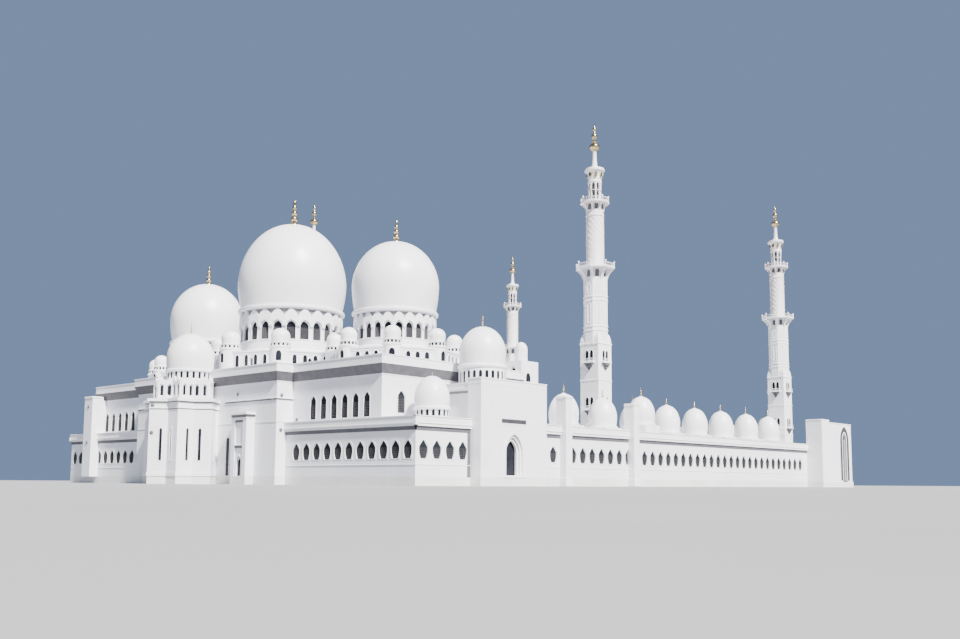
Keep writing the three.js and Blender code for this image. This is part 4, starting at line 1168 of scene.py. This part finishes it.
# %% Court arches and columns
court = []
for x in spread(39, 180, 11.6):
    court += [(x, -COURT_Y, 0, NORTH), (x, COURT_Y, 0, SOUTH)]
court += [(COURT_EAST, y, 0, WEST) for y in spread(-46.4, 46.4, 11.6)]
doors = [(HALL_EAST, y, 0, EAST) for y in spread(-48, 48, 16)]
pair = [(x, -0.62) for x in (-3.75, 3.75)]
rim = panel(arch(7.1, RIM_FOOT, 11.85, 1.25, 7), -0.12, 0.3, 0.36)
put("court_rims", rim, court, trim_stone)
shaft = turned([(0, FLOOR), (0.55, FLOOR), (0.55, 2.3), (0.42, 2.45), (0.42, 2.6), (0.3, 2.85),
                (0.27, 6.9), (0.36, 7), (0.36, 7.15), (0, 7.15)], 12)
put("court_columns", copies(shaft, pair), court, tower_stone)
leaf = turned([(0, 7.15), (0.3, 7.15), (0.34, 7.5), (0.44, 7.9), (0.62, 8.25), (0.66, 8.4),
               (0.5, 8.42), (0, 8.42)], 10)
leaf = join([leaf, block((-0.55, 0.55), (-0.55, 0.55), (8.42, 8.7), 0.04)])
put("court_capitals", copies(leaf, pair), court, gilding)
rim = panel(arch(6.6, RIM_FOOT, 12.85, 1.25, 7), -0.12, 0.3, 0.34)
put("hall_door_rims", rim, doors, trim_stone)

# %% Court belts and inlaid floor
belts = []
for low, high, out in ((13.72, 13.9, 0.66), (15.25, 15.44, 0.72), (12.5, 12.65, 0.1)):
    for s in (-1, 1):
        belts.append(strip((33.2, COURT_EAST), s, COURT_Y - out, 58.2, (low, high)))
    belts.append(block((COURT_EAST - out, 184.2), (-COURT_Y, COURT_Y), (low, high)))
dress("court_belts", join(belts), trim_stone)
# The floor's inlaid rings and border take the dark grey marble as the floor's own pattern.
ring = turned(collar(3.1, 3.5, 1.99, 2.03), 24)
rings = copies(ring, [(x, y) for x in spread(48, 170, 12.2) for y in (-44, 0, 44)])
border = [(36, -55, 1.99), (181, -55, 1.99), (181, 55, 1.99), (36, 55, 1.99)]
dress("floor_inlay", join([rings, slab(border, (0, 0, 0.04), 1.2)]), painted_shade_and_inlay_stone)

# %% [markdown]
# Pylons and the end pavilions are plain blocks with a cap. A tall arch in each pavilion has a
# reveal in near-black stone, painted as the deep shade of its recess. Small round bosses in the
# dark grey marble stand out from the prayer wall and the niche.

# %% Caps, reveals and bosses
def tall_arch(width, sill, top):
    return arch(width, sill, top, 1.4, 7)


caps, reveals = [], []
for _, s, face in SIDES:
    for x in (25.2, 56.2):
        for low, high in ((22.4, 22.98), (0, 2.15)):
            caps.append(strip((x - 0.15, x + 2.75), s, 78.4, 81.75, (low, high), 0.06))
    for x0, x1, far, top in ((171, 177.6, 85.49, 24.3), (177.6, 198.12, 85.22, 23.5)):
        caps.append(strip((x0 - 0.12, x1), s, AISLE_Y, far, (top - 0.3, top + 0.05)))
    spot = [(191.5, s * 85.1, 0, face)]
    for width, crown in ((8.6, 23), (4.2, 20.6)):
        rim = panel(tall_arch(width, RIM_FOOT, crown), -0.12, 0.3, 0.4)
        caps.append(copies(rim, spot))
    # The reveal is near-black stone, painted as the deep shade of the arch's recess, with a dark
    # pane inside.
    reveal = panel(tall_arch(8.2, FLOOR, 22.7), -0.1, 0.35)
    carve(reveal, panel(tall_arch(4, 1.9, 20.5), -1, 2))
    pane = panel(tall_arch(3.3, 2.1, 20.4), 0.9, 0.1)
    reveals.append(copies(join([reveal, pane]), spot))
caps.append(block((-28.75, -25.9), (61.85, 67.15), (26.3, 26.86), 0.06))
dress("pylon_trim", join(caps), trim_stone)
dress("pavilion_reveals", join(reveals), painted_deep_shade_stone)
# The bosses take the dark grey marble.
boss = turned([(0, 0), (0.42, 0), (0.5, 0.08), (0.36, 0.2), (0.12, 0.26), (0, 0.26)], 16)
boss.rotation_euler.x = pi / 2
spots = [(-28.6, 64.5, z, WEST) for z in (12.5, 23.6)]
spots += [(x, y, z, turn) for x, y, _, turn in star_faces(0, 0.16)[:2] for z in (13.1, 20.2)]
for _, s, face in SIDES:
    spots += [(PRAYER_X, s * 16.6, 23.1, WEST), (HALL_WEST, s * 35, 16.1, WEST)]
    spots += [(-27.6, s * PRAYER_Y, z, face) for z in (13.5, 22.1)]
put("bosses", boss, spots, painted_shade_and_inlay_stone)

# %% Tall doors beside the niche
spots = [(PRAYER_X, s * 12.9, 0, WEST) for s in (-1, 1)]
put("rim", panel(arch(1.9, RIM_FOOT, 12.5), -0.1, 0.3, 0.25), spots, trim_stone)
# The doors beside the niche are painted near black, as shade.
put("niche_side_doors", panel(arch(1.45, FLOOR, 12.1), -0.04, 0.1), spots, glass_in_painted_shade)

# %% Floor, light and camera
clear()
bpy.ops.mesh.primitive_grid_add(x_subdivisions=4, y_subdivisions=4, size=600)
floor = bpy.context.object
floor.name = "studio_floor"
studio = plain_finish("studio floor", (0.3, 0.3, 0.305), (0.28, 0.28, 0.285), 0.5, 0.8)
floor.data.materials.append(studio)

SUN_HEIGHT = radians(48)
sun_from = Vector((-0.22, -0.975, 0)) * cos(SUN_HEIGHT)
sun_from.z = sin(SUN_HEIGHT)
sun = bpy.data.lights.new("soft key", "SUN")
sun.energy = 17
sun.color = (1, 0.975, 0.94)
sun.angle = radians(4)
key = bpy.data.objects.new("soft_key", sun)
key.rotation_euler = sun_from.to_track_quat("Z", "Y").to_euler()
bpy.context.collection.objects.link(key)
world = bpy.data.worlds.new("studio")
world.use_nodes = True
sky = world.node_tree.nodes["Background"].inputs
sky[0].default_value = (0.42, 0.6, 1, 1)
sky[1].default_value = 0.46
bpy.context.scene.world = world

yaw, pitch, roll = (radians(a) for a in (42.208 - 90, 6.331 + 90, 0.356))
lens = bpy.data.cameras.new("view")
lens.lens = 37.78
lens.shift_y = 0.0539
lens.clip_end = 2000
lens.clip_start = 0.05
camera = bpy.data.objects.new("view", lens)
turn = Matrix.Rotation(yaw, 4, "Z") @ Matrix.Rotation(pitch, 4, "X") @ Matrix.Rotation(roll, 4, "Z")
camera.matrix_world = Matrix.Translation(place(-179.4, -237.53, 0.711)) @ turn
bpy.context.collection.objects.link(camera)
bpy.context.scene.camera = camera
